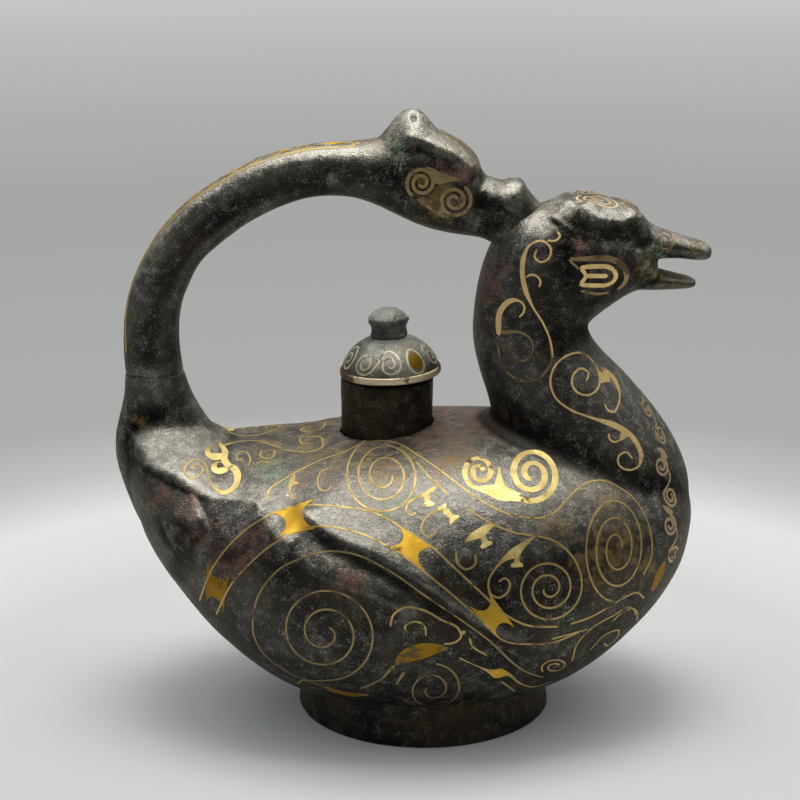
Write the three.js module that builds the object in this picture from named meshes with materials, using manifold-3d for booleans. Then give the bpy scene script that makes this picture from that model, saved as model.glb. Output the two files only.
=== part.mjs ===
// A cast bronze pot in the shape of a duck, with a lid, a beast-headed bail and gold inlay.
// Millimetres, +Z up, the bill towards +X. The origin is on the table, midway between tail and bill.
import * as THREE from 'three';
import { mergeVertices } from 'three/addons/utils/BufferGeometryUtils.js';
import Module from 'manifold-3d';

const wasm = await Module();
wasm.setup();

// Driving dimensions
const WALL = 3; // thickness of the cast body
const NECK_WALL = 5; // thickness of the neck and head round the passage to the bill
const FIT = 0.3; // gap between two pieces that are seated on each other
const INLAY_DEPTH = 1.2; // thickness of the sheet gold, and of its recess less the gap
const FOOT_X = 6.5; // centre of the ring foot
const FOOT_RADIUS = 55;
const FOOT_WALL = 5;
const FOOT_FLARE = 1.5; // how much the foot widens downwards
const CORE_HOLE_RADIUS = 20; // opening under the belly that the casting core left by
const COLLAR_X = -9.5; // centre of the filling collar on the back
const COLLAR_RADIUS = 19.8;
const COLLAR_WALL = 2.8;
const COLLAR_HEIGHT = 20.5; // above the back
const COLLAR_SEAT = 6; // how far the collar reaches down through the back
const LID_OVERHANG = 1.6; // how far the lid's rim stands out past the collar
const LID_RISE = 18; // from the rim to the top of the dome
const LID_WALL = 2.6;
const LID_SHIFT = 1.6; // the loose lid sits a little towards the head
const LID_TILT = 2.5; // degrees, the edge towards the head lifted
const BAND_HEIGHT = 2.2; // gold band round the lid's rim
const BAND_DEPTH = 0.9;
const BAND_LIFT = 1.1; // from the rim up to the band
const SLEEVE_PLAY = 0.4; // slack of the lid's sleeve in the collar, as the lid sits
const SLEEVE_WALL = 1.8;
const SLEEVE_DEPTH = 9; // below the lid's rim
const KNOB_RADIUS = 8.7;
const KNOB_NECK_RADIUS = 7.4;
const KNOB_HEIGHT = 10.5; // above the dome
const KNOB_WAIST = 4.4; // from the dome up to where the knob starts to swell
const KNOB_TIP_RADIUS = 3.4;
const MOUTH_HALF_WIDTH = 5; // of the spout's passage between the bills
const BODY_SIDES = 26; // corners of a section of the body
const NECK_SIDES = 20;
const BAIL_SIDES = 16;
const ROUND_SIDES = 28; // corners of a turned piece
const KNOB_SIDES = 8; // the knob is roughly cut to facets
const DOME_STEPS = 6;
const SPIRAL_STEPS = 9; // to a turn
const GROWTH = 1; // how far a cutter stands out of what it cuts
const SKY = 300; // above everything
const SLIVER = 1e-6; // rings closer than this are one ring
const METALNESS = 0.9;
const BRONZE = { color: 0x3b3833, roughness: 0.45 };
const GOLD = { color: 0xc9a24a, roughness: 0.35 };

// A section runs from p to q in the plane of symmetry, as [x, z], and is `half` wide each way.
// `widest` is how far from p to q it is widest, and `power` squares the section off above 2.
const BODY_SECTIONS = [
  { p: [-119, 117], q: [-119, 95], half: 14 },
  { p: [-112, 121], q: [-112, 77], half: 31 },
  { p: [-97, 123.5], q: [-97, 54], half: 47, widest: 0.46 },
  { p: [-78, 123], q: [-78, 33], half: 61, widest: 0.47, power: 2.15 },
  { p: [-52, 123.5], q: [-52, 15.5], half: 72, widest: 0.48, power: 2.25 },
  { p: [-20, 126.5], q: [-20, 8], half: 77.5, widest: 0.49, power: 2.3 },
  { p: [12, 128.5], q: [12, 7], half: 78, widest: 0.5, power: 2.3 },
  { p: [44, 129], q: [44, 10], half: 74, widest: 0.51, power: 2.25 },
  { p: [72, 126], q: [72, 19.5], half: 64, widest: 0.51, power: 2.15 },
  { p: [95, 120], q: [95, 36], half: 50 },
  { p: [110, 112], q: [110, 53], half: 36 },
  { p: [118.5, 103], q: [118.5, 69], half: 22 },
  { p: [122, 93], q: [122, 82], half: 8 },
];
const TAIL_SECTIONS = [
  { p: [-106, 71], q: [-74, 82], half: 24 },
  { p: [-117.5, 86], q: [-76, 95], half: 28.5 },
  { p: [-124.5, 102], q: [-78.5, 108], half: 28 },
  { p: [-127, 114], q: [-81.5, 118.5], half: 24.5 },
  { p: [-126, 125], q: [-86, 127.5], half: 19.5 },
  { p: [-123, 137.5], q: [-91.5, 137.5], half: 14.5 },
  { p: [-121, 152], q: [-96.5, 152], half: 11 },
];
const NECK_SECTIONS = [
  { p: [48, 92], q: [119, 83], half: 35 },
  { p: [42, 110], q: [120.8, 101], half: 38 },
  { p: [37.5, 125], q: [115.5, 118], half: 36 },
  { p: [34, 139.5], q: [106.5, 132.5], half: 32 },
  { p: [29.5, 153], q: [92.5, 149], half: 28 },
  { p: [27, 166], q: [79.5, 162.5], half: 25 },
  { p: [27.5, 180], q: [75.5, 170.5], half: 23.5 },
  { p: [32, 198], q: [77.5, 173.5], half: 23 },
  { p: [43, 214], q: [81.5, 177], half: 22 },
  { p: [57, 222], q: [86.5, 181], half: 21.5 },
  { p: [70, 226.3], q: [91, 184], half: 21 },
  { p: [83, 225.5], q: [95.5, 186], half: 18.5 },
  { p: [94, 220.5], q: [100, 187], half: 14.5 },
  { p: [102, 213], q: [104.5, 188], half: 10.5 },
];
const UPPER_BILL_SECTIONS = [
  { p: [96, 217], q: [96, 200], half: 11 },
  { p: [104, 212.5], q: [104, 199.5], half: 10 },
  { p: [113, 209.5], q: [113, 199.5], half: 8.3 },
  { p: [122, 206.8], q: [122, 198.6], half: 6.6 },
  { p: [126, 205], q: [126, 199.2], half: 4.6 },
  { p: [127, 203.6], q: [127, 200.6], half: 2.4 },
];
const LOWER_BILL_SECTIONS = [
  { p: [96, 195], q: [96, 186.5], half: 10 },
  { p: [104, 194.6], q: [104, 186.2], half: 8.8 },
  { p: [113, 192.6], q: [113, 186.4], half: 7 },
  { p: [119, 191], q: [119, 186.8], half: 5 },
  { p: [121, 190], q: [121, 187.6], half: 2.6 },
];
const BAIL_SECTIONS = [
  { p: [-121, 152], q: [-96.5, 152], half: 11 },
  { p: [-121.3, 163], q: [-98, 163], half: 10.5, power: 2.4 },
  { p: [-119.6, 178], q: [-97, 176.5], half: 10.3, power: 2.4 },
  { p: [-115.5, 192], q: [-93.5, 187], half: 10.2, power: 2.4 },
  { p: [-108, 206], q: [-87.5, 198], half: 10.2, power: 2.4 },
  { p: [-96, 220], q: [-78.5, 206.5], half: 10.2, power: 2.4 },
  { p: [-80, 231.5], q: [-66, 215.5], half: 10.2, power: 2.4 },
  { p: [-61, 241.5], q: [-51.5, 222.5], half: 10.3, power: 2.4 },
  { p: [-41, 246.6], q: [-37, 226], half: 10.6, power: 2.4 },
  { p: [-22, 248.2], q: [-21, 225], half: 11.5, power: 2.4 },
  { p: [-8, 251], q: [-8, 219.5], half: 13 },
  { p: [4, 254], q: [4, 214], half: 15 },
  { p: [15, 251], q: [14, 211], half: 16 },
  { p: [24, 245], q: [23, 209.5], half: 15 },
  { p: [31, 235.5], q: [30, 208.5], half: 12.5 },
  { p: [38, 232], q: [37, 206.5], half: 11.5 },
  { p: [46.5, 231.5], q: [45, 204], half: 12 },
  { p: [53, 226], q: [53, 204], half: 11.5 },
  { p: [60, 220.5], q: [60, 206], half: 9 },
];
const HORN_SECTIONS = [
  { p: [-12, 247], q: [12, 247], half: 12 },
  { p: [-7, 254.5], q: [8.5, 254], half: 10 },
  { p: [-4, 260], q: [6, 259.5], half: 7.5 },
  { p: [-1.5, 262], q: [3, 262], half: 4 },
];
const MOUTH_SECTIONS = [
  { p: [88, 199.3], q: [88, 194.1], half: MOUTH_HALF_WIDTH, power: 6 },
  { p: [108, 199.3], q: [108, 194.1], half: MOUTH_HALF_WIDTH, power: 6 },
];

// Gold is drawn as it is seen from the pot's right, a little from above: points are [x, up, width],
// with `up` square to the line of sight. A point with no width is on a plain gold line.
// Both sides of the pot carry the same gold.
const GOLD_VIEW = 16; // degrees above level
const GOLD_STEP = 7; // longest stretch of a strip between two of its corners
const LINE = 1.7; // width of a gold line
const FINE_LINE = 1.4;

const WING_BONES = [
  [[-83.5, 58.5, 9], [-79.5, 56.5, 4.5], [-75.5, 54.5, 8]],
  [[-48, 88, 14], [-46.5, 83.5, 5], [-45, 79, 10]],
  [[2.5, 77.5, 11], [0.5, 73, 5], [-1.8, 68.6, 9]],
  [[36.5, 48.2, 10], [33.5, 45.2, 5], [30.3, 42, 9]],
];
const FLANK_LEAF = [[-5.3, 24.3, 1.2], [-1, 28, 5], [6, 30, 5], [14.8, 31.2, 1.2]];
const TAIL_SCROLL = [
  [-79.6, 112.6], [-78, 108.5, 3], [-75, 104.5, 3], [-71.4, 102, 3], [-71.2, 98.5, 2.4], [-74, 94.8, 2.2],
  [-78.5, 94.2], [-82.5, 97.5], [-85.5, 103], [-88.8, 106.2], [-92, 105.6],
];
const NECK_SCROLL_UPPER = [
  [52.3, 193.6, FINE_LINE], [51.4, 190.6], [53.8, 188.4], [57, 189.8], [58, 193.8], [54.4, 197.2],
  [49.6, 195.6], [46.9, 190, 2], [46.5, 184, 2], [47.8, 177, 2], [51, 170], [55.4, 163.2], [58.4, 156],
  [59.4, 149.5],
];
const NECK_SCROLL_LOWER = [
  [73.6, 139.6, FINE_LINE], [74.6, 143], [71.6, 145], [68.2, 142.4], [67.6, 138], [70, 134.8], [74.6, 133.9],
  [78.6, 136.8], [79.4, 142], [77, 147.8], [72, 151.4], [65.8, 150.4], [60.4, 146], [58.4, 139.6], [60.4, 133],
  [66.2, 128.1], [75, 124.6], [84.9, 121.4, 2.2], [90.6, 118.4, 2], [95, 113.6], [96.6, 109],
];
const EYE_LOOP = [
  [71, 186.5, FINE_LINE], [76, 186.5, FINE_LINE], [81.5, 186.3, FINE_LINE], [84.3, 183, FINE_LINE],
  [81.5, 179.7, FINE_LINE], [76, 179.5, FINE_LINE], [71, 179.5, FINE_LINE],
];
const EYE_BAR = [[72, 183, 2], [81, 183, 2]];
const WING_COIL = { at: [-34.5, 37.5], inner: 3, outer: 21.5, start: 50, turns: -2.4 };
const CLOUD_HEAD = { at: [50.3, 101.5], inner: 2, outer: 10.6, start: -90, turns: -2 };
const CLOUD_FIELD = [[43, 91.8, 3], [36.5, 93.2, 5], [31.5, 94.6, 3.2]];
const CLOUD_TAIL = { at: [28.8, 102.4], inner: 1.4, outer: 6.6, start: -10, turns: 1.75 };
const BEAST_HEAD = { at: [18.7, 214.2], inner: 1.6, outer: 5.6, start: 225, turns: -1.25, width: 1.3 };
const BEAST_FIELD = [[11.7, 217.6, 2.4]];
const BEAST_TAIL = { at: [5.1, 220.6], inner: 1.6, outer: 5, start: 225, turns: 1.25, width: 1.3 };

// A pair of spirals is hooked together by a broader field
const hooked = (head, field, tail) => [...spiral(head), ...field, ...spiral(tail).reverse()];

// The gold of each casting, by name
const BODY_GOLD = {
  wing_spiral: spiral(WING_COIL),
  flank_leaf: FLANK_LEAF,
  cloud_scroll: hooked(CLOUD_HEAD, CLOUD_FIELD, CLOUD_TAIL),
  tail_scroll: TAIL_SCROLL,
  ...Object.fromEntries(WING_BONES.map((bone, i) => [`wing_bone_${i + 1}`, bone])),
};
const NECK_GOLD = {
  neck_scroll_upper: NECK_SCROLL_UPPER,
  neck_scroll_lower: NECK_SCROLL_LOWER,
  eye_loop: EYE_LOOP,
  eye_bar: EYE_BAR,
};
const BAIL_GOLD = { beast_scroll: hooked(BEAST_HEAD, BEAST_FIELD, BEAST_TAIL) };

// Shelves cast on the forms, drawn as the gold is: each stands out by `height` along its line and runs out
// `reach` above it. Both sides of the pot have them.
const SHELF_ROOT = 6; // how far a shelf is rooted in the form that it stands on
const SHELF_RISE = 0.2; // share of a shelf in which it rises to its height at either end
const TAIL_DECK = {
  line: [[-112, 110], [-109, 104], [-101.7, 101.3], [-90.3, 95.5], [-80, 89.9], [-69.6, 89], [-55, 83]],
  height: 3.6,
  reach: 18,
};
const WING_FOLD = {
  line: [[-47, 87.5], [-33, 76.5], [-16, 70.2], [0, 62.3], [14.6, 52.1], [24.3, 45.5], [48.9, 33]],
  height: 3.4,
  reach: 15,
};
const FLANK_FOLD = {
  line: [[-54, 78], [-46, 70.4], [-34.5, 61.7], [-12.8, 53.8], [6, 44.4]],
  height: 2.4,
  reach: 11,
};
const BROW = {
  line: [[66, 208], [70, 206.3], [74.6, 204.4], [82, 203.6], [89.5, 205.8]],
  height: 2.6,
  reach: 6,
};

// Points of a spiral from its eye outwards: angles in degrees, turns positive the way a clock runs backwards
function spiral({ at, inner, outer, start, turns, width = LINE }) {
  const count = Math.ceil(Math.abs(turns) * SPIRAL_STEPS);
  return Array.from({ length: count + 1 }, (_, i) => {
    const radius = THREE.MathUtils.lerp(inner, outer, i / count);
    const turn = THREE.MathUtils.degToRad(start) + 2 * Math.PI * turns * (i / count);
    return [at[0] + radius * Math.cos(turn), at[1] + radius * Math.sin(turn), width];
  });
}

// Solids

function solidOf(geometry) {
  geometry.deleteAttribute('normal');
  geometry.deleteAttribute('uv');
  const merged = mergeVertices(geometry);
  return new wasm.Manifold(new wasm.Mesh({
    numProp: 3,
    vertProperties: new Float32Array(merged.attributes.position.array),
    triVerts: new Uint32Array(merged.index.array),
  }));
}

function geometryOf(solid) {
  const mesh = solid.getMesh();
  const geometry = new THREE.BufferGeometry();
  geometry.setAttribute('position', new THREE.BufferAttribute(mesh.vertProperties, 3));
  geometry.setIndex(new THREE.BufferAttribute(mesh.triVerts, 1));
  return geometry;
}

// A closed skin over rings with the same number of corners, turning right-handed about their travel.
function loft(rings) {
  const sides = rings[0].length;
  const points = [];
  const faces = [];
  rings.forEach((ring) => ring.forEach((corner) => points.push(...corner.toArray())));
  for (let i = 0; i + 1 < rings.length; i++) {
    for (let j = 0; j < sides; j++) {
      const next = (j + 1) % sides;
      const [a, b, c, d] = [i * sides + j, i * sides + next, (i + 1) * sides + next, (i + 1) * sides + j];
      faces.push(a, b, c, a, c, d);
    }
  }
  const close = (ring, first, flip) => {
    const middle = ring.reduce((sum, corner) => sum.add(corner), new THREE.Vector3()).divideScalar(sides);
    const centre = points.push(...middle.toArray()) / 3 - 1;
    for (let j = 0; j < sides; j++) {
      const edge = [first + j, first + (j + 1) % sides];
      faces.push(centre, ...(flip ? edge.reverse() : edge));
    }
  };
  close(rings[0], 0, true);
  close(rings.at(-1), (rings.length - 1) * sides, false);
  const geometry = new THREE.BufferGeometry();
  geometry.setAttribute('position', new THREE.Float32BufferAttribute(points, 3));
  geometry.setIndex(faces);
  return geometry;
}

// One ring of a section, pulled in by `inset` on every side.
function sectionRing({ px, pz, qx, qz, half, widest, power }, inset, sides) {
  const p = new THREE.Vector3(px, 0, pz);
  const q = new THREE.Vector3(qx, 0, qz);
  const along = q.clone().sub(p).normalize();
  p.addScaledVector(along, inset);
  q.addScaledVector(along, -inset);
  const middle = p.clone().lerp(q, widest);
  return Array.from({ length: sides }, (_, i) => {
    const turn = (i / sides) * 2 * Math.PI;
    const rounded = (v) => Math.sign(v) * Math.abs(v) ** (2 / power);
    const reach = rounded(Math.cos(turn));
    const corner = middle.clone().lerp(reach > 0 ? q : p, Math.abs(reach));
    corner.y = (half - inset) * rounded(Math.sin(turn));
    return corner;
  });
}

// A form through its sections, with `steps` rings worked out between each two of them.
function form(sections, { inset = 0, steps = 2, sides }) {
  const rows = sections.map(({ p, q, half, widest = 0.5, power = 2 }) => [...p, ...q, half, widest, power]);
  const middles = sections.map(({ p, q }) => new THREE.Vector2((p[0] + q[0]) / 2, (p[1] + q[1]) / 2));
  const travel = [0];
  middles.slice(1).forEach((m, i) => travel.push(travel[i] + m.distanceTo(middles[i])));
  const smooth = new THREE.CubicInterpolant(travel, rows.flat(), rows[0].length);
  const start = travel[0] + inset;
  const end = travel.at(-1) - inset;
  const count = (sections.length - 1) * steps;
  const rings = Array.from({ length: count + 1 }, (_, i) => {
    const whole = Math.min(Math.floor(i / steps), sections.length - 2);
    const part = i / steps - whole;
    const place = THREE.MathUtils.clamp(
      THREE.MathUtils.lerp(travel[whole], travel[whole + 1], part), start, end);
    const [px, pz, qx, qz, half, widest, power] = smooth.evaluate(place);
    return sectionRing({ px, pz, qx, qz, half, widest, power }, inset, sides);
  });
  return solidOf(loft(rings.filter((ring, i) => i === 0 || ring[0].distanceTo(rings[i - 1][0]) > SLIVER)));
}

// A turned piece about an upright axis at x, from its [radius, z] outline.
function turned(x, outline, sides = ROUND_SIDES) {
  const profile = [...outline, outline[0]].map(([r, z]) => new THREE.Vector2(r, z));
  const geometry = new THREE.LatheGeometry(profile, sides);
  geometry.rotateX(Math.PI / 2);
  geometry.translate(x, 0, 0);
  return solidOf(geometry);
}

const cylinder = (x, radius, low, high) => turned(x, [[0, low], [radius, low], [radius, high], [0, high]]);
const tube = (x, inner, outer, low, high) =>
  turned(x, [[inner, low], [outer, low], [outer, high], [inner, high]]);

// Gold let into a form

const goldTilt = THREE.MathUtils.degToRad(GOLD_VIEW);
const sight = new THREE.Vector3(0, Math.cos(goldTilt), -Math.sin(goldTilt));
const sightUp = new THREE.Vector3(0, Math.sin(goldTilt), Math.cos(goldTilt));

// Finds where a point of the drawing lies on a form, and which way the form faces there.
function drawnOn(solid) {
  const geometry = geometryOf(solid);
  geometry.computeVertexNormals();
  const mesh = new THREE.Mesh(geometry);
  return (x, up) => {
    const from = new THREE.Vector3(x, 0, 0).addScaledVector(sightUp, up).addScaledVector(sight, -SKY);
    const [hit] = new THREE.Raycaster(from, sight).intersectObject(mesh);
    return { point: hit.point, normal: hit.normal };
  };
}

// The drawn points, with more between them where they lie far apart
function refined(path) {
  const drawn = path.map(([x, up, width = LINE]) => new THREE.Vector3(x, up, width));
  const curve = new THREE.CatmullRomCurve3(drawn);
  return curve.getPoints(Math.max(path.length - 1, Math.ceil(curve.getLength() / GOLD_STEP)));
}

// Which way a drawn line runs at one of its points, and square to that
function courseAt(points, i) {
  const next = points[Math.min(i + 1, points.length - 1)].clone();
  const along = next.sub(points[Math.max(i - 1, 0)]).setZ(0).normalize();
  return { along, across: new THREE.Vector3(-along.y, along.x, 0) };
}

const corner = ({ point, normal }, height) => point.clone().addScaledVector(normal, height);
const onSide = (rings, mirrored) => (mirrored
  ? rings.map((ring) => ring.map((point) => point.clone().setY(-point.y)).reverse())
  : rings);

// A strip along the drawn points, from `depth` under the form to `stand` above it.
// It is grown sideways and at its ends by `growth`.
function strip(seen, path, { depth, stand, growth, mirrored }) {
  const points = refined(path);
  const last = points.length - 1;
  const rings = points.map((point, i) => {
    const { along, across } = courseAt(points, i);
    const end = { 0: -growth, [last]: growth }[i] ?? 0;
    const place = point.clone().setZ(0).addScaledVector(along, end);
    const [right, left] = [-1, 1].map((side) => {
      const edge = place.clone().addScaledVector(across, side * (point.z / 2 + growth));
      return seen(edge.x, edge.y);
    });
    return [corner(right, -depth), corner(left, -depth), corner(left, stand), corner(right, stand)];
  });
  return solidOf(loft(onSide(rings, mirrored)));
}

// A shelf along its drawn line
function shelf(seen, { line, height, reach }, mirrored) {
  const points = refined(line);
  const last = points.length - 1;
  const rings = points.map((point, i) => {
    const top = point.clone().addScaledVector(courseAt(points, i).across, reach);
    const rise = Math.min(1, Math.min(i, last - i) / (last * SHELF_RISE));
    const foot = seen(point.x, point.y);
    const back = seen(top.x, top.y);
    const edge = corner(foot, height * rise);
    return [corner(foot, -SHELF_ROOT), corner(back, -SHELF_ROOT), corner(back, -FIT), edge];
  });
  return solidOf(loft(onSide(rings, mirrored)));
}

const SIDES = { right: false, left: true };
const gold = (seen, path, mirrored) =>
  strip(seen, path, { depth: INLAY_DEPTH, stand: 0, growth: 0, mirrored });
const recess = (seen, path, mirrored) =>
  strip(seen, path, { depth: INLAY_DEPTH + FIT, stand: GROWTH, growth: FIT, mirrored });

function shelved(host, shelves) {
  const seen = drawnOn(host);
  const added = shelves.flatMap((one) => Object.values(SIDES).map((side) => shelf(seen, one, side)));
  return added.reduce((solid, one) => solid.add(one), host);
}

function recessed(host, paths) {
  const seen = drawnOn(host);
  const cuts = Object.values(paths)
    .flatMap((path) => Object.values(SIDES).map((side) => recess(seen, path, side)));
  return cuts.reduce((solid, cut) => solid.subtract(cut), host);
}

// The pot

const bodyForm = (inset) => form(BODY_SECTIONS, { inset, sides: BODY_SIDES });
const tailForm = (inset) => form(TAIL_SECTIONS, { inset, sides: NECK_SIDES });
const neckForm = (inset) => form(NECK_SECTIONS, { inset, sides: NECK_SIDES });
const billForm = (sections) => form(sections, { steps: 1, sides: BAIL_SIDES });
const spoutForm = shelved(neckForm(0), [BROW])
  .add(billForm(UPPER_BILL_SECTIONS))
  .add(billForm(LOWER_BILL_SECTIONS));
const passage = neckForm(NECK_WALL).add(billForm(MOUTH_SECTIONS));
const bailForm = form(BAIL_SECTIONS, { sides: BAIL_SIDES })
  .add(form(HORN_SECTIONS, { steps: 1, sides: BAIL_SIDES }));
const pot = shelved(bodyForm(0).add(tailForm(0)), [TAIL_DECK, WING_FOLD, FLANK_FOLD]);
const aroundPot = bodyForm(-FIT).add(tailForm(-FIT));
const hollow = form(BODY_SECTIONS, { inset: WALL, steps: 1, sides: NECK_SIDES });

// Height of the back under the collar
function topAt(solid, x) {
  const down = new THREE.Raycaster(new THREE.Vector3(x, 0, SKY), new THREE.Vector3(0, 0, -1));
  return down.intersectObject(new THREE.Mesh(geometryOf(solid)))[0].point.z;
}

const backHeight = topAt(bodyForm(0), COLLAR_X);
const midHeight = backHeight / 2;
const collarTop = backHeight + COLLAR_HEIGHT;
const collarBore = COLLAR_RADIUS - COLLAR_WALL;

const collar = tube(COLLAR_X, collarBore, COLLAR_RADIUS, backHeight - COLLAR_SEAT, collarTop);
const collarHole = cylinder(COLLAR_X, COLLAR_RADIUS + FIT, midHeight, SKY);
const coreHole = cylinder(FOOT_X, CORE_HOLE_RADIUS, 0, midHeight);
const bodyShell = recessed(pot, BODY_GOLD)
  .subtract(hollow)
  .subtract(collarHole)
  .subtract(coreHole)
  .subtract(passage);
const basePlug = cylinder(FOOT_X, CORE_HOLE_RADIUS - FIT, 0, midHeight)
  .intersect(bodyForm(0))
  .subtract(hollow);
const footRing = turned(FOOT_X, [
  [FOOT_RADIUS - FOOT_WALL, 0],
  [FOOT_RADIUS, 0],
  [FOOT_RADIUS - FOOT_FLARE, midHeight],
  [FOOT_RADIUS - FOOT_FLARE - FOOT_WALL, midHeight],
]).subtract(aroundPot);
const neckSpout = recessed(spoutForm, NECK_GOLD).subtract(passage).subtract(aroundPot);
const bail = recessed(bailForm, BAIL_GOLD).subtract(neckForm(-FIT)).subtract(aroundPot);

// The lid, about its own axis and up from its rim

const lidTilt = THREE.MathUtils.degToRad(LID_TILT);
const lidRadius = COLLAR_RADIUS + LID_OVERHANG;
const sleeveShift = LID_SHIFT + SLEEVE_DEPTH * Math.sin(lidTilt);
const sleeveRadius = collarBore - sleeveShift - SLEEVE_PLAY;

// Outline of a dome from its rim to its top, grown outwards by `growth`
function domeLine(growth) {
  return Array.from({ length: DOME_STEPS + 1 }, (_, i) => {
    const turn = (i / DOME_STEPS) * Math.PI / 2;
    return [(lidRadius + growth) * Math.cos(turn), (LID_RISE + growth) * Math.sin(turn)];
  });
}

const dome = (growth, base = 0) => turned(0, [[0, base], [lidRadius + growth, base], ...domeLine(growth)]);
const bandLow = BAND_LIFT;
const bandHigh = BAND_LIFT + BAND_HEIGHT;
const bandBore = lidRadius - BAND_DEPTH;
const bandGroove = tube(0, bandBore - FIT, lidRadius + GROWTH, bandLow - FIT, bandHigh + FIT);
const lidDome = dome(0).subtract(dome(-LID_WALL, -GROWTH)).subtract(bandGroove);
const lidBand = tube(0, bandBore, lidRadius, bandLow, bandHigh).intersect(dome(0));
const underDome = dome(-LID_WALL - FIT).add(cylinder(0, sleeveRadius, -SLEEVE_DEPTH, GROWTH));
const sleeveBore = sleeveRadius - SLEEVE_WALL;
const lidSleeve = tube(0, sleeveBore, sleeveRadius, -SLEEVE_DEPTH, LID_RISE).intersect(underDome);
const lidKnob = turned(0, [
  [0, 0],
  [KNOB_NECK_RADIUS, 0],
  [KNOB_NECK_RADIUS, LID_RISE + KNOB_WAIST / 2],
  [KNOB_RADIUS, LID_RISE + KNOB_WAIST + GROWTH],
  [KNOB_TIP_RADIUS, LID_RISE + KNOB_HEIGHT],
  [0, LID_RISE + KNOB_HEIGHT],
], KNOB_SIDES).subtract(dome(FIT));

function piece(name, solid, { color, roughness } = BRONZE) {
  const material = new THREE.MeshStandardMaterial({ color, roughness, metalness: METALNESS });
  const mesh = new THREE.Mesh(geometryOf(solid), material);
  mesh.name = name;
  return mesh;
}

function goldPieces(host, paths) {
  const seen = drawnOn(host);
  return Object.entries(paths).flatMap(([name, path]) => Object.entries(SIDES)
    .map(([side, mirrored]) => piece(`${name}_${side}`, gold(seen, path, mirrored), GOLD)));
}

const lid = new THREE.Group();
lid.position.set(COLLAR_X + LID_SHIFT, 0, collarTop + FIT + lidRadius * Math.sin(lidTilt));
lid.rotation.y = -lidTilt;
lid.add(
  piece('lid_dome', lidDome),
  piece('lid_knob', lidKnob),
  piece('lid_sleeve', lidSleeve),
  piece('lid_band', lidBand, GOLD),
);

const duck = new THREE.Group();
duck.add(
  piece('body_shell', bodyShell),
  piece('foot_ring', footRing),
  piece('base_plug', basePlug),
  piece('neck_spout', neckSpout),
  piece('bail', bail),
  piece('filler_collar', collar),
  ...goldPieces(pot, BODY_GOLD),
  ...goldPieces(spoutForm, NECK_GOLD),
  ...goldPieces(bailForm, BAIL_GOLD),
  lid,
);
export default duck;
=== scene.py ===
import math

import bpy
import numpy as np
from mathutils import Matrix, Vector
from mathutils.bvhtree import BVHTree


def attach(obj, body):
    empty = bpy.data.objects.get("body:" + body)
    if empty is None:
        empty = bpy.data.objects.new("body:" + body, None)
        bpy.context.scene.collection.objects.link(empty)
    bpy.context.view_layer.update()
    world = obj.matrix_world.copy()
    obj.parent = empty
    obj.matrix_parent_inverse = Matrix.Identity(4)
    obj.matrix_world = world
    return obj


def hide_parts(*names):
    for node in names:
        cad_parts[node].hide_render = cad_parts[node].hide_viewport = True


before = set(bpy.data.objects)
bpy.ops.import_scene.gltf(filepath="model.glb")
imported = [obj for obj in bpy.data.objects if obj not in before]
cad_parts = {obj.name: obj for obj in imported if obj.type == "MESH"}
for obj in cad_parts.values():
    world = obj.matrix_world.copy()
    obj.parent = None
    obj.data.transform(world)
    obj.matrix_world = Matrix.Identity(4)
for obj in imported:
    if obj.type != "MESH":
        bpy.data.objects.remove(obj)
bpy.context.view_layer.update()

bl_info = {
    "name": "Bronze duck pot",
    "version": (1, 0, 0),
    "blender": (4, 5, 0),
    "location": "View3D > Sidebar > Duck pot",
    "description": "Casts, inlays and sets up a bronze pouring pot in the shape of a duck",
    "category": "Object",
}

MM = 0.001

# Forms -----------------------------------------------------------------------------------------
# A section (px, pz, qx, qz, half, widest, power) runs from p to q in the pot's middle plane, in mm.
# `half` is its half width, `widest` where along p to q it is widest and `power` how square it is.
# Where the last two are left out, they are those of an ellipse.

ELLIPSE = (0.5, 2.0)
BODY = [
    (-119, 117, -119, 95, 14), (-112, 121, -112, 77, 31), (-97, 121, -97, 54, 47, 0.46),
    (-78, 119.2, -78, 33, 61, 0.47), (-52, 120.6, -52, 15.5, 72, 0.48, 2.1),
    (-20, 125.4, -20, 8, 77.5, 0.49, 2.25), (12, 128.5, 12, 7, 78, 0.5, 2.3),
    (44, 129, 44, 10, 74, 0.51, 2.25), (72, 126, 72, 19.5, 64, 0.51, 2.15), (95, 120, 95, 36, 50),
    (110, 112, 110, 53, 36), (118.5, 103, 118.5, 69, 22), (122, 93, 122, 82, 8),
]
TAIL = [
    (-109, 71, -74, 82, 20), (-117.5, 86, -76, 95, 24), (-123.4, 102, -78.5, 108, 22),
    (-126.4, 114, -81.5, 118.5, 17), (-126, 125, -86, 127.5, 13.6), (-123, 137.5, -91.5, 137.5, 11.8),
    (-121, 152, -96.5, 152, 11),
]
DECK = [
    (-120, 126, -120, 104, 9, 0.3, 1.4), (-115, 131.5, -115, 98, 16, 0.3, 1.2),
    (-110, 135.5, -110, 95, 24, 0.46, 1.1), (-103, 135, -103, 90, 32, 0.48, 1.1),
    (-96, 132.5, -96, 88, 37, 0.46, 1.1), (-88, 128, -88, 84, 42, 0.43, 1.15),
    (-78, 120, -78, 80, 46, 0.41, 1.25), (-68, 110, -68, 78, 38, 0.4, 1.4),
]
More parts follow.
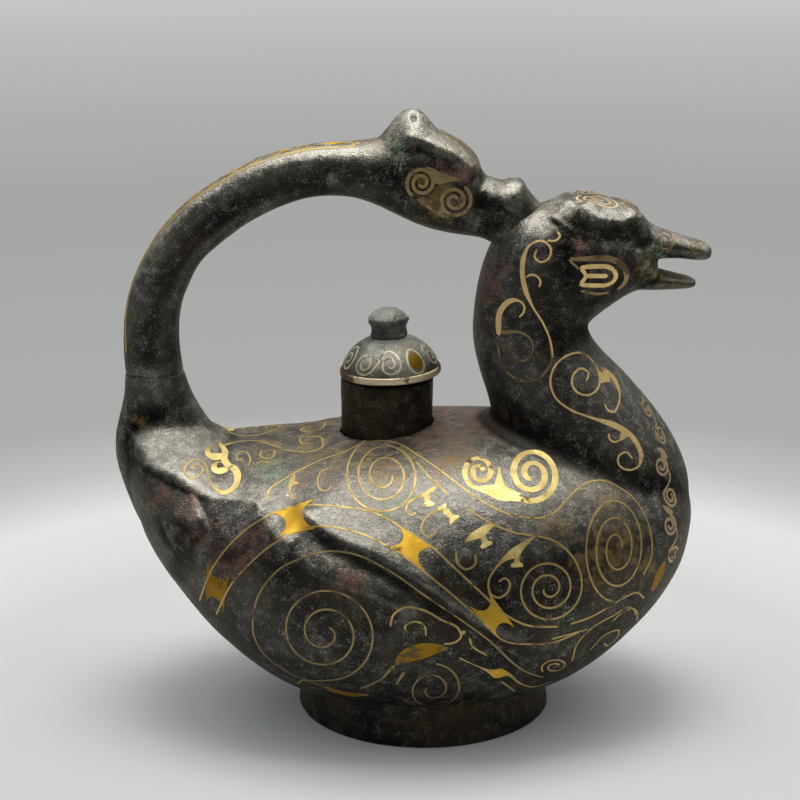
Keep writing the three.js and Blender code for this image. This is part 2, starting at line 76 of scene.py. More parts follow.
NECK = [
    (48, 92, 119, 83, 35), (42, 110, 120.8, 101, 38), (37.5, 125, 115.5, 118, 36),
    (34, 139.5, 106.5, 132.5, 32), (29.5, 153, 92.5, 149, 28), (27, 166, 79.5, 162.5, 25),
    (27.5, 180, 75.5, 170.5, 23.5), (31.5, 199, 77.5, 173.5, 23, 0.5, 2.2),
    (42.5, 217.6, 81.5, 177, 22.5, 0.5, 2.3), (56.5, 222.6, 86.5, 181, 22, 0.5, 2.2),
    (70, 226, 91, 184, 21.5, 0.48, 2.2), (83, 224, 95.5, 186, 18.5), (94, 220.5, 100, 187, 14.5),
    (102, 213, 104.5, 188, 10.5),
]
UPPER_BILL = [
    (96, 217, 96, 200, 11), (104, 212.5, 104, 199.5, 10), (113, 209.5, 113, 199.5, 8.3),
    (122, 206.8, 122, 198.6, 6.6), (126, 205, 126, 199.2, 4.6), (127, 203.6, 127, 200.6, 2.4),
]
LOWER_BILL = [
    (96, 195, 96, 186.5, 10), (104, 194.6, 104, 186.2, 8.8), (113, 192.6, 113, 186.4, 7),
    (119, 191, 119, 186.8, 5), (121, 190, 121, 187.6, 2.6),
]
MOUTH = [
    (88, 199.3, 88, 194.1, 5, 0.5, 6), (108, 199.3, 108, 194.1, 5, 0.5, 6),
]
BAIL = [
    (-121, 150, -96.5, 150, 11, 0.5, 2.2), (-121.3, 163, -98, 163, 10.5, 0.5, 2.6),
    (-119.6, 178, -97, 176.5, 10.3, 0.5, 2.9), (-115.5, 192, -93.5, 187, 10.2, 0.5, 3),
    (-108, 206, -87.5, 198, 10.2, 0.5, 3), (-96, 220, -78.5, 206.5, 10.2, 0.5, 3),
    (-80, 231.5, -66, 215.5, 10.2, 0.5, 3), (-61, 241.5, -51.5, 222.5, 10.3, 0.5, 3),
    (-41, 246.6, -37, 226, 10.6, 0.5, 3), (-22, 248.2, -21, 225, 11.5, 0.5, 2.8),
    (-8, 251, -8, 219.5, 13, 0.5, 2.5), (4, 254, 4, 214, 15, 0.5, 2.4), (15, 251, 14, 211, 16, 0.5, 2.4),
    (24, 245, 23, 209.5, 15, 0.5, 2.4), (31, 235.5, 30, 208.5, 12.5, 0.5, 2.5),
    (38, 231.6, 34.5, 206.5, 11.2, 0.5, 2.8), (46, 232.3, 38.5, 205, 11.2, 0.5, 3),
    (48.6, 229.4, 41.5, 205, 10.4, 0.5, 2.8), (52, 225.6, 46, 207, 9), (55.5, 222, 51, 211, 6),
]
HORN = [
    (-16, 246, 14, 249, 12), (-10.6, 252.4, 11.4, 252.6, 10.4), (-7.6, 256, 8.4, 256.2, 8.6),
    (-4.6, 259.8, 5.8, 259.8, 5.8), (-1.4, 262, 3.2, 262, 2.6),
]

# Relief ----------------------------------------------------------------------------------------
# Drawn as it is seen from the pot's right, a little from above: (x, up) in mm, with `up` square
# to the line of sight. Both sides of the pot carry it.
# A crest is a line, its height, its reach above and below the line, and the softness of its edge.
# A ridge is a line, its height, its half width and its squareness; a hollow has a height below 0.

SIGHT = math.radians(16)
BODY_CRESTS = [
    ([(-117.5, 117), (-112.2, 110.7), (-109.1, 103.8), (-101.7, 101.3), (-96, 98.9), (-90.3, 95.5),
     (-86.5, 92.2), (-80.1, 89.7), (-69.6, 89), (-64.2, 88.2), (-58.9, 85.7), (-54.7, 83)], 3.2, 14, 8, 0.4),
    ([(-48, 88), (-43.3, 85.9), (-38.1, 80.5), (-33, 76.5), (-25.3, 73.2), (-16, 70.2), (-7.5, 66.5),
     (0.1, 62.3), (6.1, 58.7), (14.6, 52.1), (24.3, 45.5), (36.5, 39), (48.9, 33)], 4.2, 11, 4.5, 1.0),
    ([(-55, 79), (-50.9, 75.1), (-46.1, 70.4), (-40.6, 65.1), (-34.5, 61.7), (-24, 57.8), (-12.8, 53.8),
     (-3.9, 49.7), (6.1, 44.4)], 4.6, 15, 9, 1.0),
    ([(-62, 85), (-55.8, 78.2), (-51.2, 73.1), (-47.5, 68.8)], 1.8, 7, 5, 1.0),
    ([(-100.2, 75.4), (-92.4, 78.7), (-83.4, 83)], 2.4, 8, 5, 0.8),
]
BODY_RIDGES = [
    ([(-98.7, 55.6), (-93.7, 65.6), (-92.1, 74.1), (-87.7, 79.7)], -1.8, 5, 2),
    ([(-40, 78), (-31, 71.5), (-20, 66.5), (-8, 61.5), (4, 54.5), (14, 47.5), (25, 40)], -1.7, 4, 2),
]
HEAD_CRESTS = [
    ([(69.5, 212), (72.5, 208.1), (76.5, 204.8), (82, 203.8), (87.2, 203.9), (90.9, 205.9), (94.5, 209.2)],
     4.2, 8, 5.5, 0.6),
    ([(66, 192), (76.4, 193), (87.1, 193), (97, 192)], 1.0, 4, 5, 0.8),
]
HEAD_RIDGES = [
    ([(65, 198.7), (72, 199), (81.9, 199), (89.3, 198.8), (93, 198.2)], -1.4, 5, 2),
    ([(59.7, 204.1), (64, 209.5), (68.1, 213.4)], 1.5, 3, 2),
    ([(64.5, 203.5), (69, 208)], -0.6, 2.6, 2),
    ([(94, 207), (95.9, 202.6), (96.2, 198)], 1.4, 1.8, 2),
    ([(92.2, 190.5), (97.5, 192), (102.5, 193.5)], 1.0, 2.2, 2),
    ([(72.5, 183), (83.5, 183)], 1.3, 7.8, 6),
    ([(64.5, 188), (65.5, 182), (65, 177)], -1.4, 2.2, 2),
]
BAIL_CRESTS = [
    ([(-3.2, 239.6), (0, 239), (6.1, 236.4), (13, 233.3), (17.9, 230.9), (21.1, 228.5), (24.4, 225.4),
     (26, 223)], 3.8, 6, 5.5, 0.5),
    ([(-115.5, 160), (-115.2, 165.9), (-111.6, 180.3), (-103.9, 194.6), (-92.2, 208.8), (-77.6, 219.9),
     (-63, 226.3), (-49.6, 229.2), (-34.2, 230.4), (-18.8, 230.7), (-8, 232)], 1.1, 7, 7, 0.7),
    ([(46.5, 222.1), (44.6, 217), (39.9, 210.2)], 1.0, 3, 3, 0.6),
    ([(29, 219), (33, 216.8), (38.9, 215), (45, 217)], 1.3, 5, 4, 0.6),
]
BAIL_RIDGES = [
    ([(-2, 233), (6.1, 232.4), (12.2, 230.2), (17.1, 227), (21.5, 223)], -0.9, 4, 2),
    ([(0.4, 247.4), (2.6, 247.4)], -1.8, 2.0, 2),
    ([(30.5, 226), (31, 217), (29, 209)], -1.2, 2.6, 2),
    ([(24, 206), (29, 204.5)], 1.6, 2.6, 2),
    ([(-34, 222.6), (-30, 222.3)], 1.2, 2.4, 2),
    ([(-104, 172), (-98, 186), (-87, 199), (-72, 209.5), (-57, 216), (-44, 219), (-28, 219)], -0.8, 5, 2),
]

# Stains, spots of painted sheen and paler spots: (x, up, radius) in mm
BODY_STAINS = {
    "russet": [
        (20, 112, 8), (-102, 92, 7), (-84, 80, 8), (-24, 60, 7), (8.7, 115, 8), (15.1, 118.3, 7),
        (-45, 98.1, 6), (-32.7, 99.7, 5), (-68.9, 66.8, 8), (-76.5, 68.2, 8), (77.9, 72.5, 7), (83, 74.4, 7),
        (-91.1, 88.6, 7), (38.6, 121.2, 6), (33.6, 177.6, 6), (34.4, 186, 6), (69, 194.5, 4), (12.6, 105, 7),
        (-64.9, 74.6, 8), (-10, 106, 6), (28, 122, 8),
    ],
    "green": [
        (104, 192.5, 7), (101, 188, 6), (124.5, 195.5, 3.5), (-57.8, 102.8, 7), (-52.6, 99.6, 6),
        (-5.9, 89.2, 7), (-8.8, 85.3, 5), (-2, 92, 5), (64, 44, 5), (50, 88, 5),
    ],
    "olive": [
        (85, 71, 14), (-9, 101, 9), (-30, 109, 8), (20, 108, 8), (-114, 123, 4), (76, 70, 9), (78, 60, 8),
        (82, 88, 9), (94, 76, 7), (70, 64, 6), (-20, 108, 8), (-40, 112, 10), (0, 110, 7), (-60, 110, 8),
        (60, 80, 8), (98, 62, 6), (100, 188, 6), (106, 184, 6), (113, 182, 6),
    ],
}
BAIL_STAINS = {
    "russet": [
        (22, 224, 5), (-12, 241, 7), (12, 226, 4),
    ],
    "green": [
        (-108.2, 184, 6), (-6, 234.4, 6), (-3.9, 228.1, 6), (-9, 240, 6), (29.2, 226.1, 4), (30.8, 222.8, 4),
    ],
    "olive": [
        (12, 214, 9), (20, 238, 8), (28, 230, 6), (5, 222, 6),
    ],
}
# Painted sheen: spots where the tail deck and the crown catch the light more
PAINTED_SHEEN_SPOTS = [
    (-108, 112, 8), (-99, 107, 9), (-90, 99, 8), (-80, 95, 6), (80, 212, 9),
]
# Spots below the wing band that are made a little paler
PALER_SPOTS = [
    (-42, 71, 8), (-28, 65, 9), (-14, 58, 8), (-2, 50, 7), (-62, 56, 8),
]

# Gold ------------------------------------------------------------------------------------------
# Points are (x, up) or (x, up, width) in mm, drawn as the relief is.

POINTS_A_TURN = 18

def coil(at, inner, outer, start, turns, width=None, flat=1.0):
    """Points of a spiral from its eye outwards; `flat` stretches it upwards."""
    count = max(6, math.ceil(abs(turns) * POINTS_A_TURN))
    points = []
    for i in range(count + 1):
        radius = inner + (outer - inner) * i / count
        turn = math.radians(start) + 2 * math.pi * turns * i / count
        point = (at[0] + radius * math.cos(turn), at[1] + flat * radius * math.sin(turn))
        points.append(point if width is None else (*point, width))
    return points


def bone(a, b, waist):
    """A field that joins two lines from a to b and has round hollows on both sides."""
    a, b = np.array(a, float), np.array(b, float)
    deep = np.linalg.norm(b - a) / 2
    points = []
    for t in np.sin(np.linspace(-math.pi / 2, math.pi / 2, 17)):
        middle = (a + b) / 2 + (b - a) / 2 * t
        flare = 1 - math.sqrt(max(0, 1 - (0.97 * t) ** 2))
        points.append((*middle, waist + 3.3 * deep * flare))
    return points


def tee(a, b, bar):
    """A narrow stem from a to b that ends in a bar across it."""
    a, b = np.array(a, float), np.array(b, float)
    widths = ((0, 3.4), (0.25, 2.5), (0.55, 2.3), (0.7, 2.8), (0.78, bar), (1, bar))
    return [(*(a + (b - a) * t), wide) for t, wide in widths]


LOW_GOLD = [
    coil((-34.5, 37.5), 3, 21.5, 50, -2.39) + [(-44.2, 16.1), (-52.1, 19.9), (-59.9, 26.4), (-64, 35.5),
     (-63.8, 43.4), (-61.5, 52.1), (-56.1, 60.1), (-51.4, 64.4), (-45.7, 67.3), (-37.9, 70.2), (-30.2, 71),
     (-21.4, 69.8), (-9.6, 64.3), (8.5, 51.7), (30.9, 35.6), (48.3, 19.7), (55.8, 16.2)],
    bone((-83.9, 56.5), (-75.3, 52.6), 9.6),
    coil((9.5, 12.5), 2.5, 12.2, -203, 1.8),
    [(-5.6, 24.2, 1.4), (-3.2, 26.6, 5), (0, 28.6, 7), (4.4, 30, 7.6), (9.6, 31, 5.6), (15.4, 31.4, 1.2)],
    [(-6.4, 23.7, 1.6), (-11.6, 17.3, 0.8)],
    [(-2.2, 20.9, 1.6), (-5.6, 14.9, 0.8)],
    [(-20.3, 12.6, 0.9), (-11.8, 17.5), (-6.1, 23.9)],
    [(-35.4, 13, 1.4), (-31.8, 11, 5), (-26.8, 9.4, 5.6), (-16.6, 9.6, 1.2)],
    [(-47.1, 12.7), (-44.2, 15.3), (-40.4, 14.6), (-36.7, 13.2)],
    [(-2.4, 7.6), (2.1, 3.6), (9.1, 1.7), (17, 2.4), (24, 5.4)],
    [(101.6, 51.6, 1.5), (102.6, 53.6, 4.6), (104, 57, 6.2), (105.4, 60.6, 5.6), (106.9, 64.3, 1.5)],
]
WING_GOLD = [
    [(-87.5, 48), (-79.6, 64.7), (-65.2, 80.1), (-49.7, 87.8), (-39.8, 89.1), (-28.3, 88.5), (-12.7, 85.6),
     (-3.4, 80.6), (7.9, 73.6), (18.1, 64.3), (27.4, 55.6), (40.4, 44.1), (47.5, 40.6), (60.8, 39.3)],
    [(-80.2, 42.6), (-71.6, 58.1), (-64, 66.2), (-56.7, 72.5), (-50.7, 76.2), (-38.6, 80.8), (-28.2, 80.2),
     (-14.2, 76), (-6, 71.5), (13, 57.2), (26.9, 45.1), (39.8, 33.8), (47.7, 32.5), (56.8, 32.3),
     (70.1, 36.5)],
    bone((-47.6, 88.2), (-45.6, 78.3), 7.8),
    bone((3.2, 76.9), (-2.4, 69), 8.4),
    bone((37, 47.4), (30, 41.8), 8.2),
    [(6.5, 36.6), (6, 40.7), (1.9, 42.8), (-1.9, 40.7), (-1.5, 38.1)],
    [(-7.9, 40.7), (-6.3, 46), (-1.7, 48.9), (5, 47.6), (12.7, 43.3), (20, 39), (20.8, 36.3), (18.5, 33.9),
     (13.8, 33.1)],
    [(24.1, 35.7), (25.2, 32.5), (31.5, 27.9)],
    [(20.1, 27), (29.6, 22.3), (33.2, 20.6, 2.4), (36.5, 19.6, 6), (40, 19.2, 2.4), (46, 14.2), (52, 11.5),
     (60.2, 13.5)],
    [(37.8, 15.9), (44.3, 10)],
    coil((60.3, 21.4), 1.6, 6, 0, 1.6, None, 0.62),
    [(65.7, 40.2), (72.7, 42.1), (82, 46.4), (90.4, 50.8), (94.4, 51.8), (98.3, 48.8)],
    [(84.2, 40), (88.6, 43.5), (93.9, 44.4), (95, 41.5)],
    [(57.8, 34.1), (73.5, 37.5)],
    [(67.6, 23), (68.9, 30.5), (74.5, 37.3), (84.4, 42.5), (91.5, 45.4), (95.1, 43.3), (96.6, 38)],
    [(75.4, 27.6), (82, 34.4), (87.9, 35.1), (87.1, 31.1), (83, 28.5), (81.4, 30.2)],
    [(20.6, 37.2, 1.6), (22.4, 38.6, 1.6)],
]
BACK_GOLD = [
    [(-58.5, 90.7), (-57.9, 94.3), (-52.9, 98.3), (-47.8, 101.4), (-34.8, 107.5), (-26.9, 110.1),
     (-22.1, 112.6), (-11.4, 114.7), (-3.4, 113.1), (2.9, 109.3), (10.8, 104.2), (23.6, 94.6), (31.3, 89.6),
     (39, 86), (48.5, 84), (54.4, 84.1), (59.1, 86.1), (64.2, 90.9), (68.7, 94.9), (74.3, 97.9), (80.9, 98.3),
     (86.8, 95.6), (93.2, 90.8), (98, 83.4), (100.3, 75.5), (100.4, 66.5), (96.9, 59.1)],
    coil((-10.5, 100.8), 3.5, 16.4, 0, -2.75),
    coil((85, 71), 2.3, 14.1, 0, 2.75, None, 1.6),
    coil((56.3, 55.3), 2, 13.8, 180, 2.5) + [(67.4, 66.2), (64.7, 69.9), (58.4, 74.7), (51, 76.8), (43.2, 78),
     (36.5, 80.3), (27.5, 85.1), (22.9, 87.9)],
    coil((50.3, 101.5), 2, 10.8, -90, -2, 2.6) + [(43.5, 92.4, 4.6), (37, 94, 7.4), (31.5, 95.2, 4.6)] +
     coil((28.8, 102.4), 1.2, 6.8, -10, 1.75, 2.2)[::-1],
    [(36.8, 95, 6), (36.7, 98, 3.4), (36.8, 101, 1.8), (37, 104.4, 0.9)],
    [(2.9, 106.2), (8.1, 100.2), (15.8, 93.1)],
    [(-47.7, 100.9), (-48.6, 97.8, 2.4), (-49.2, 94.3), (-47.3, 91.3), (-45.2, 92.3)],
    [(-48.4, 97.4, 2.6), (-45.4, 97.4, 0.8)],
    [(-32.7, 103.5), (-36.6, 102), (-37.8, 98.4), (-36.3, 94.9), (-33.2, 94.9), (-31.9, 96.9)],
    [(11.1, 96.7), (7.5, 94.1, 2.4), (2.8, 92.1), (-0.8, 89.6), (-1.4, 86.6), (1.2, 85.4), (2.5, 86.6)],
    tee((6.4, 93.8), (8, 88.8), 4.2),
    [(14.1, 88.1, 2), (8.9, 86.1), (5.3, 82.6), (4.8, 79.1), (7.4, 76.8), (9.9, 78.1), (10.5, 79.6)],
    tee((15, 86.4), (12.8, 88.9), 4),
    tee((14.6, 86.8), (18.4, 83.2), 4.8),
    [(34.2, 81.5, 1.2), (31.6, 80.4, 2.6), (27.9, 78, 3.8), (24.4, 76.2, 2.4), (22.2, 74.5, 0.9)],
    tee((28.4, 78.6), (31.2, 72.8), 4.8),
    [(18.6, 71), (19.1, 66.4), (22.7, 63.8), (26.3, 65.9), (26.3, 69.9)],
    [(50.8, 76.8), (46, 73.3, 2.2), (42.4, 70.3, 4), (38.2, 67.8, 2), (34.6, 64.2), (31.7, 59.1),
     (32.5, 53.9), (35.7, 52.3), (39.3, 54.3), (40.3, 58), (38.2, 60.1), (35.6, 58.6)],
    tee((43, 70.8), (43.2, 64.4), 4.8),
]
TAIL_GOLD = [
    [(-81.4, 114.8, 1), (-80, 112.6, 2.6), (-78.2, 110, 2.8), (-78, 107, 3), (-76.2, 104.6, 3.2),
     (-73.4, 103.2, 3.4), (-71.6, 100.6, 3), (-71.6, 97.4, 2.6), (-73.4, 94.8, 2.6), (-76, 93.6, 2.8),
     (-78.6, 94.2, 2), (-80.8, 95.6, 1.2), (-82.6, 97.9), (-84, 101.2), (-84.9, 104.1), (-86.6, 106.1),
     (-89.4, 106.8), (-92, 105.7), (-93.4, 103.7), (-92.9, 101.2), (-90.3, 99.5), (-87.5, 100.3),
     (-86.1, 102.8), (-87.3, 104.5), (-89.5, 104.7), (-90.6, 103.6), (-89.6, 102.6)],
    [(-78, 108.8, 2.6), (-80.8, 108, 4.4), (-83.2, 108.2, 4.6), (-84.8, 109.6, 3), (-84.8, 111.4, 1.6),
     (-83.4, 112.4), (-81.8, 111.6)],
    [(-76, 103.4, 2.8), (-78.6, 102.2, 4.2), (-80.6, 102.4, 4.2), (-81.8, 103.8, 2.6), (-81.2, 105.2, 1.5),
     (-79.8, 105.9), (-78.6, 105.2)],
    [(-79.6, 112.2, 1.6), (-76, 113.4), (-72.4, 114), (-67.7, 114.4), (-63.5, 114), (-56.8, 112.1),
     (-48.4, 110), (-41.4, 110.1), (-36.7, 112.1), (-37, 115.2), (-42, 116.2), (-46.8, 114.7), (-45.5, 113.2),
     (-41.7, 113.4)],
    [(-68, 104), (-66.8, 106.4), (-67.3, 107.8), (-69.2, 109.7), (-71.5, 109.9), (-72.9, 108.6),
     (-72.5, 106.8), (-70.9, 106.4), (-70.3, 107.6)],
    [(-62.5, 110.6), (-62.9, 108.4), (-60.4, 107.2), (-57.4, 108), (-56.8, 110), (-58.6, 110.6)],
    [(-65.5, 103.3), (-62.5, 105.9), (-58.2, 105.4)],
]
NECK_GOLD = [
    [(52.3, 193.6), (51.4, 190.6), (53.8, 188.4), (57, 189.8), (58, 193.8), (54.4, 197.2), (49.6, 195.6),
     (46.9, 190, 2), (46.5, 184, 2), (47.8, 177, 2), (51, 170), (55.4, 163.2), (58.4, 156), (59.4, 149.5)],
    [(73.6, 139.6), (74.6, 143), (71.6, 145), (68.2, 142.4), (67.6, 138), (70, 134.8), (74.6, 133.9),
     (78.6, 136.8), (79.4, 142), (77, 147.8), (72, 151.4), (65.8, 150.4), (60.4, 146), (58.4, 139.6),
     (60.4, 133), (66.2, 128.1), (75, 124.6), (84.9, 121.4, 2.6), (90.6, 118.4, 2.6), (95, 113.6, 2.4),
     (96.7, 108, 2), (95.2, 104), (91.3, 102.7), (86.9, 105.1), (86.9, 108.3), (90.2, 110.1), (93, 107.2)],
    [(45.3, 166), (47.1, 167.9), (47.4, 170.4), (45.5, 172.6), (42.4, 173, 2), (39.4, 171.1, 2.4),
     (37.5, 168.1, 2.6), (37, 162.7, 2.8), (37.2, 158.6, 2)],
    [(56.6, 197.3, 1), (59.8, 197.2), (61.8, 199.2), (60.6, 201)],
    [(48, 182.3), (49.5, 183.2), (52, 182.9), (53.9, 180.4), (53.3, 178.2)],
    [(79.1, 145.1, 1.2), (82.5, 143.8, 3), (85.8, 140.9, 3.4), (87.4, 137.4, 2), (88.1, 133.9), (87.2, 129.7),
     (85.1, 126.8), (82.4, 127.8), (81.2, 130.3)],
    [(79, 141.6, 6.4), (81.5, 141.5, 5), (84, 141, 3.4)],
    [(90.2, 118.4, 3.6), (88.8, 116.7, 2.8), (87.4, 115.1), (84.8, 114.4), (82.9, 116.1), (82.9, 118)],
]
NECK_LOOP_GOLD = [
    [(59.3, 150.5, 1.2), (58.9, 147.4, 1.2), (57, 144.2, 1.2), (53.7, 140.9), (48.5, 139.5), (43.4, 141.2),
     (39.7, 144.7), (37.7, 149.5), (37, 155.2, 1.2), (37.2, 158.8, 1.6)],
    [(37.8, 160.4, 1.6), (40, 159.9, 1.6), (43, 160.1, 1.2), (47.8, 159), (50.7, 155.9), (51.2, 152.9),
     (50, 149.9), (47.4, 148), (44.6, 148.5), (42.6, 150.6), (42.3, 153.3), (43.7, 155.2)],
]
EYE_GOLD = [
    [(70, 186.2, 1.6), (73, 186.4, 1.9), (77.6, 186.6, 1.9), (81.8, 186.3, 1.9), (84.2, 184.9, 1.9),
     (85.1, 182.9, 1.9), (84.2, 180.9, 1.9), (81.8, 179.4, 1.9), (77, 179, 1.9), (73, 179.1, 1.9),
     (70, 179.4, 1.6)],
    [(70.3, 185.8, 1.5), (72.3, 183.6, 1.7), (72.6, 182.8, 1.9), (72.3, 182, 1.7), (70.3, 179.8, 1.5)],
    [(72.6, 182.8, 1.9), (81.6, 182.8, 2)],
]
EYE_RIM_GOLD = [
    [(69.8, 185.4, 0.9), (66, 189.6, 1.2), (68.4, 189.6, 1.6), (75, 189.8, 2.2), (82, 189.7, 2.4),
     (86, 188.4, 2.6), (88.4, 186.4, 2.6), (89.6, 184, 2.4), (89.6, 181.6, 2.2), (88.2, 179.2, 2),
     (86, 177.6, 1.4)],
    [(70.6, 176.9, 0.9), (75, 175.9, 1.5), (78.1, 175.7, 1.6), (82.5, 176.3, 1.2)],
]
BILL_GOLD = [
    coil((106.2, 198), 0.7, 4.6, 160, 1.9, 1),
    coil((119.6, 195.8), 0.5, 3, 160, 1.5, 0.9),
]
# (x, y), seen from above
CROWN_GOLD = [
    coil((78.5, 7.2), 1.6, 9.4, 0, 2.6, 1, 0.68),
    coil((92, 5.4), 0.8, 4.6, 90, 1.75, 1.1, 0.8),
]
# (across, z), seen from between the front and the side
CHEST_GOLD = [
    coil((63, 137), 0.8, 3.8, 150, 1.75, 1.25) + [(66.6, 132.6), (65.2, 130.6)] + coil((64.6, 126.4), 0.8,
     3.8, 70, -1.75, 1.25)[::-1],
    coil((57.2, 115.5), 0.9, 4.4, 150, 1.75, 1.25) + [(61, 109.5), (59, 107.4)] + coil((58.8, 102.6), 0.9,
     4.2, 70, -1.75, 1.25)[::-1],
    coil((52.6, 92.5), 0.9, 4.4, 150, 1.75, 1.25) + [(56.6, 86.6), (54.6, 84.6)] + coil((54.6, 79.8), 0.9,
     4.0, 70, -1.75, 1.25)[::-1],
    [(57.5, 122.6, 0.9), (60.3, 120.6, 2.8), (62.8, 117.4, 0.9)],
    [(51.8, 100.6, 0.9), (53.6, 98.4, 2.8), (56.8, 96.6, 0.9)],
]
# (x, up) again
BEAST_GOLD = [
    coil((18.4, 213.6), 1.2, 7.2, 20, 2.1, 1.5, 0.95),
    coil((4.9, 220.7), 1.1, 6.3, 200, 2.1, 1.5),
    [(6.6, 226.9, 1), (9.6, 224.6, 3.4), (12, 222.4, 5), (15.6, 222.2, 3), (20, 221.9, 1)],
    [(3.2, 214.4, 1), (6.8, 212.6, 3), (10.4, 211.2, 5), (12.8, 208.8, 3.4), (16.4, 206.7, 1)],
]

# The lid's gold: (along its edge, height) in mm
LID_LINE_RADIUS = 20
LID_MIDDLE = 8.5
LID_STEP = 25.13
LENS_AT = 12.9


def lid_coil(at, outer, start):
    return coil((at, LID_MIDDLE), 0.9, outer, start, 1.8, None, 0.85)


def lid_scroll(at):
    """Two joined spirals round a place on the lid's dome."""
    joined = lid_coil(at - 6.28, 5.2, 32)
    joined += [(at - 0.9, 7.4), (at + 0.9, 9.6)]
    joined += lid_coil(at + 6.28, 6, -143)[::-1]
    return joined


LID_GOLD = [
    *[lid_scroll(k * LID_STEP - 6) for k in (0, 2, 3, 4)],
    lid_coil(25.4, 5.2, -143),
    [(LENS_AT + 4.3 * math.cos(t), LID_MIDDLE + 4.6 * math.sin(t))
     for t in np.linspace(0, 2 * math.pi, 17)],
]
LID_FIELD = [[(LENS_AT, *row) for row in ((5, 1.6), (6.6, 5), (LID_MIDDLE, 6.4), (10.4, 5), (12, 1.6))]]


def bail_strip():
    """Edge lines, leaves and curls on the bail's outer face: (along it, y) in mm."""
    leaf = ((-7, 0.8), (-3, 3.2), (0, 4.6), (3, 3.2), (7, 0.8))
    curl = ((6, 0.6), (9, 2), (11.5, 4.2), (9.5, 5.2), (8.4, 3.8))
    paths = [[(10, y), (80, y), (158, y)] for y in (-6.6, 6.6)]
    for middle in range(22, 150, 21):
        paths.append([(middle + along, 0, wide) for along, wide in leaf])
        for side in (-1, 1):
            paths.append([(middle + along, side * y) for along, y in curl])
    return paths


BAIL_GOLD = bail_strip()


# Mesh work -------------------------------------------------------------------------------------

LEAST_WEIGHT = 0.002  # lighter vertices are left out of a modifier's group
LEAST_RELIEF = 0.01  # mm
END_FADE = 0.12  # share of a drawn line over which its relief fades at each end
END_HEIGHT = 0.15  # share of its height that it keeps there

def mode(name):
    bpy.ops.object.mode_set(mode=name)


def put_down():
    """Leaves edit mode and lets go of everything."""
    if bpy.context.object and bpy.context.object.mode != "OBJECT":
        mode("OBJECT")
    bpy.ops.object.select_all(action="DESELECT")


def take(*objects):
    """Picks up these objects, the first as the one worked on."""
    put_down()
    for obj in objects:
        obj.select_set(True)
    bpy.context.view_layer.objects.active = objects[0]


def vertex_rows(obj, field):
    flat = np.empty(len(obj.data.vertices) * 3)
    obj.data.vertices.foreach_get(field, flat)
    return flat.reshape(-1, 3)


def points_of(obj):
    """An object's vertices in mm."""
    return vertex_rows(obj, "co") / MM


def normals_of(obj):
    return vertex_rows(obj, "normal")


def set_points(obj, points):
    obj.data.vertices.foreach_set("co", (np.asarray(points) * MM).ravel())
    obj.data.update()


def ramp(values, start, run):
    """Rises from 0 at the start to 1 over the run, or falls towards the start if run is below 0."""
    return np.clip((values - start) / run, 0, 1)


def bell(values, middle, reach):
    """1 in the middle, fading on both sides."""
    return np.exp(-(((values - middle) / reach) ** 2))


def travel_along(points):
    """How far along a line each of its points lies."""
    return np.concatenate([[0], np.cumsum(np.linalg.norm(np.diff(points, axis=0), axis=1))])


def face_outwards(obj):
    take(obj)
    mode("EDIT")
    bpy.ops.mesh.select_all(action="SELECT")
    bpy.ops.mesh.remove_doubles(threshold=1e-6)
    bpy.ops.mesh.normals_make_consistent(inside=False)
    mode("OBJECT")


def pick(obj, kind, chosen):
    """Goes into edit mode with only the chosen edges or faces selected."""
    take(obj)
    mode("EDIT")
    bpy.ops.mesh.select_mode(type=kind)
    bpy.ops.mesh.select_all(action="DESELECT")
    mode("OBJECT")
    items = obj.data.edges if kind == "EDGE" else obj.data.polygons
    items.foreach_set("select", chosen)
    mode("EDIT")


def rows_between(sections, steps):
    """Section rows with `steps` rows eased in between each two of them."""
    rows = np.array([(*row, *ELLIPSE[len(row) - 5:]) for row in sections], float)
    travel = travel_along((rows[:, 0:2] + rows[:, 2:4]) / 2)
    last = len(rows) - 1
    made = []
    for i in range(last):
        reach = (travel[i + 1] - travel[i]) / 2
        before = rows[i - 1] if i else rows[i + 1]
        after = rows[i + 2] if i + 2 <= last else rows[i]
        pull_in = reach / (travel[i] - travel[i - 1]) if i else -0.5
        pull_out = reach / (travel[i + 2] - travel[i + 1]) if i + 2 <= last else -0.5
        for k in range(steps):
            s = k / steps
            made.append(
                before * (-pull_in * s**3 + 2 * pull_in * s**2 - pull_in * s)
                + rows[i] * ((1 + pull_in) * s**3 - (1.5 + 2 * pull_in) * s**2 + (pull_in - 0.5) * s + 1)
                + rows[i + 1] * (-(1 + pull_out) * s**3 + (1.5 + pull_out) * s**2 + 0.5 * s)
                + after * (pull_out * s**3 - pull_out * s**2)
            )
    return np.array([*made, rows[last]])


def loft(name, sections, sides, steps=6, inset=0.0):
    """A closed form through its sections, drawn out ring by ring from a disc."""
    rows = rows_between(sections, steps)
    put_down()
    bpy.ops.mesh.primitive_circle_add(vertices=sides, radius=1, fill_type="NGON")
    obj = bpy.context.object
    obj.name = name
    mode("EDIT")
    for _ in rows[1:]:
        bpy.ops.mesh.extrude_region_move(TRANSFORM_OT_translate={"value": (0, 0, 1)})
    mode("OBJECT")
    raw = points_of(obj) * MM
    row = rows[np.rint(raw[:, 2]).astype(int)]
    turn = np.arctan2(raw[:, 1], raw[:, 0])
    p, q = row[:, 0:2], row[:, 2:4]
    along = (q - p) / np.linalg.norm(q - p, axis=1)[:, None]
    p, q = p + along * inset, q - along * inset
    half, widest, square = row[:, 4] - inset, row[:, 5:6], 2 / row[:, 6]
    reach = np.sign(np.cos(turn)) * np.abs(np.cos(turn)) ** square
    middle = p + (q - p) * widest
    place = middle + np.where(reach[:, None] > 0, q - middle, p - middle) * np.abs(reach)[:, None]
    out = half * np.sign(np.sin(turn)) * np.abs(np.sin(turn)) ** square
    set_points(obj, np.column_stack([place[:, 0], out, place[:, 1]]))
    face_outwards(obj)
    return obj


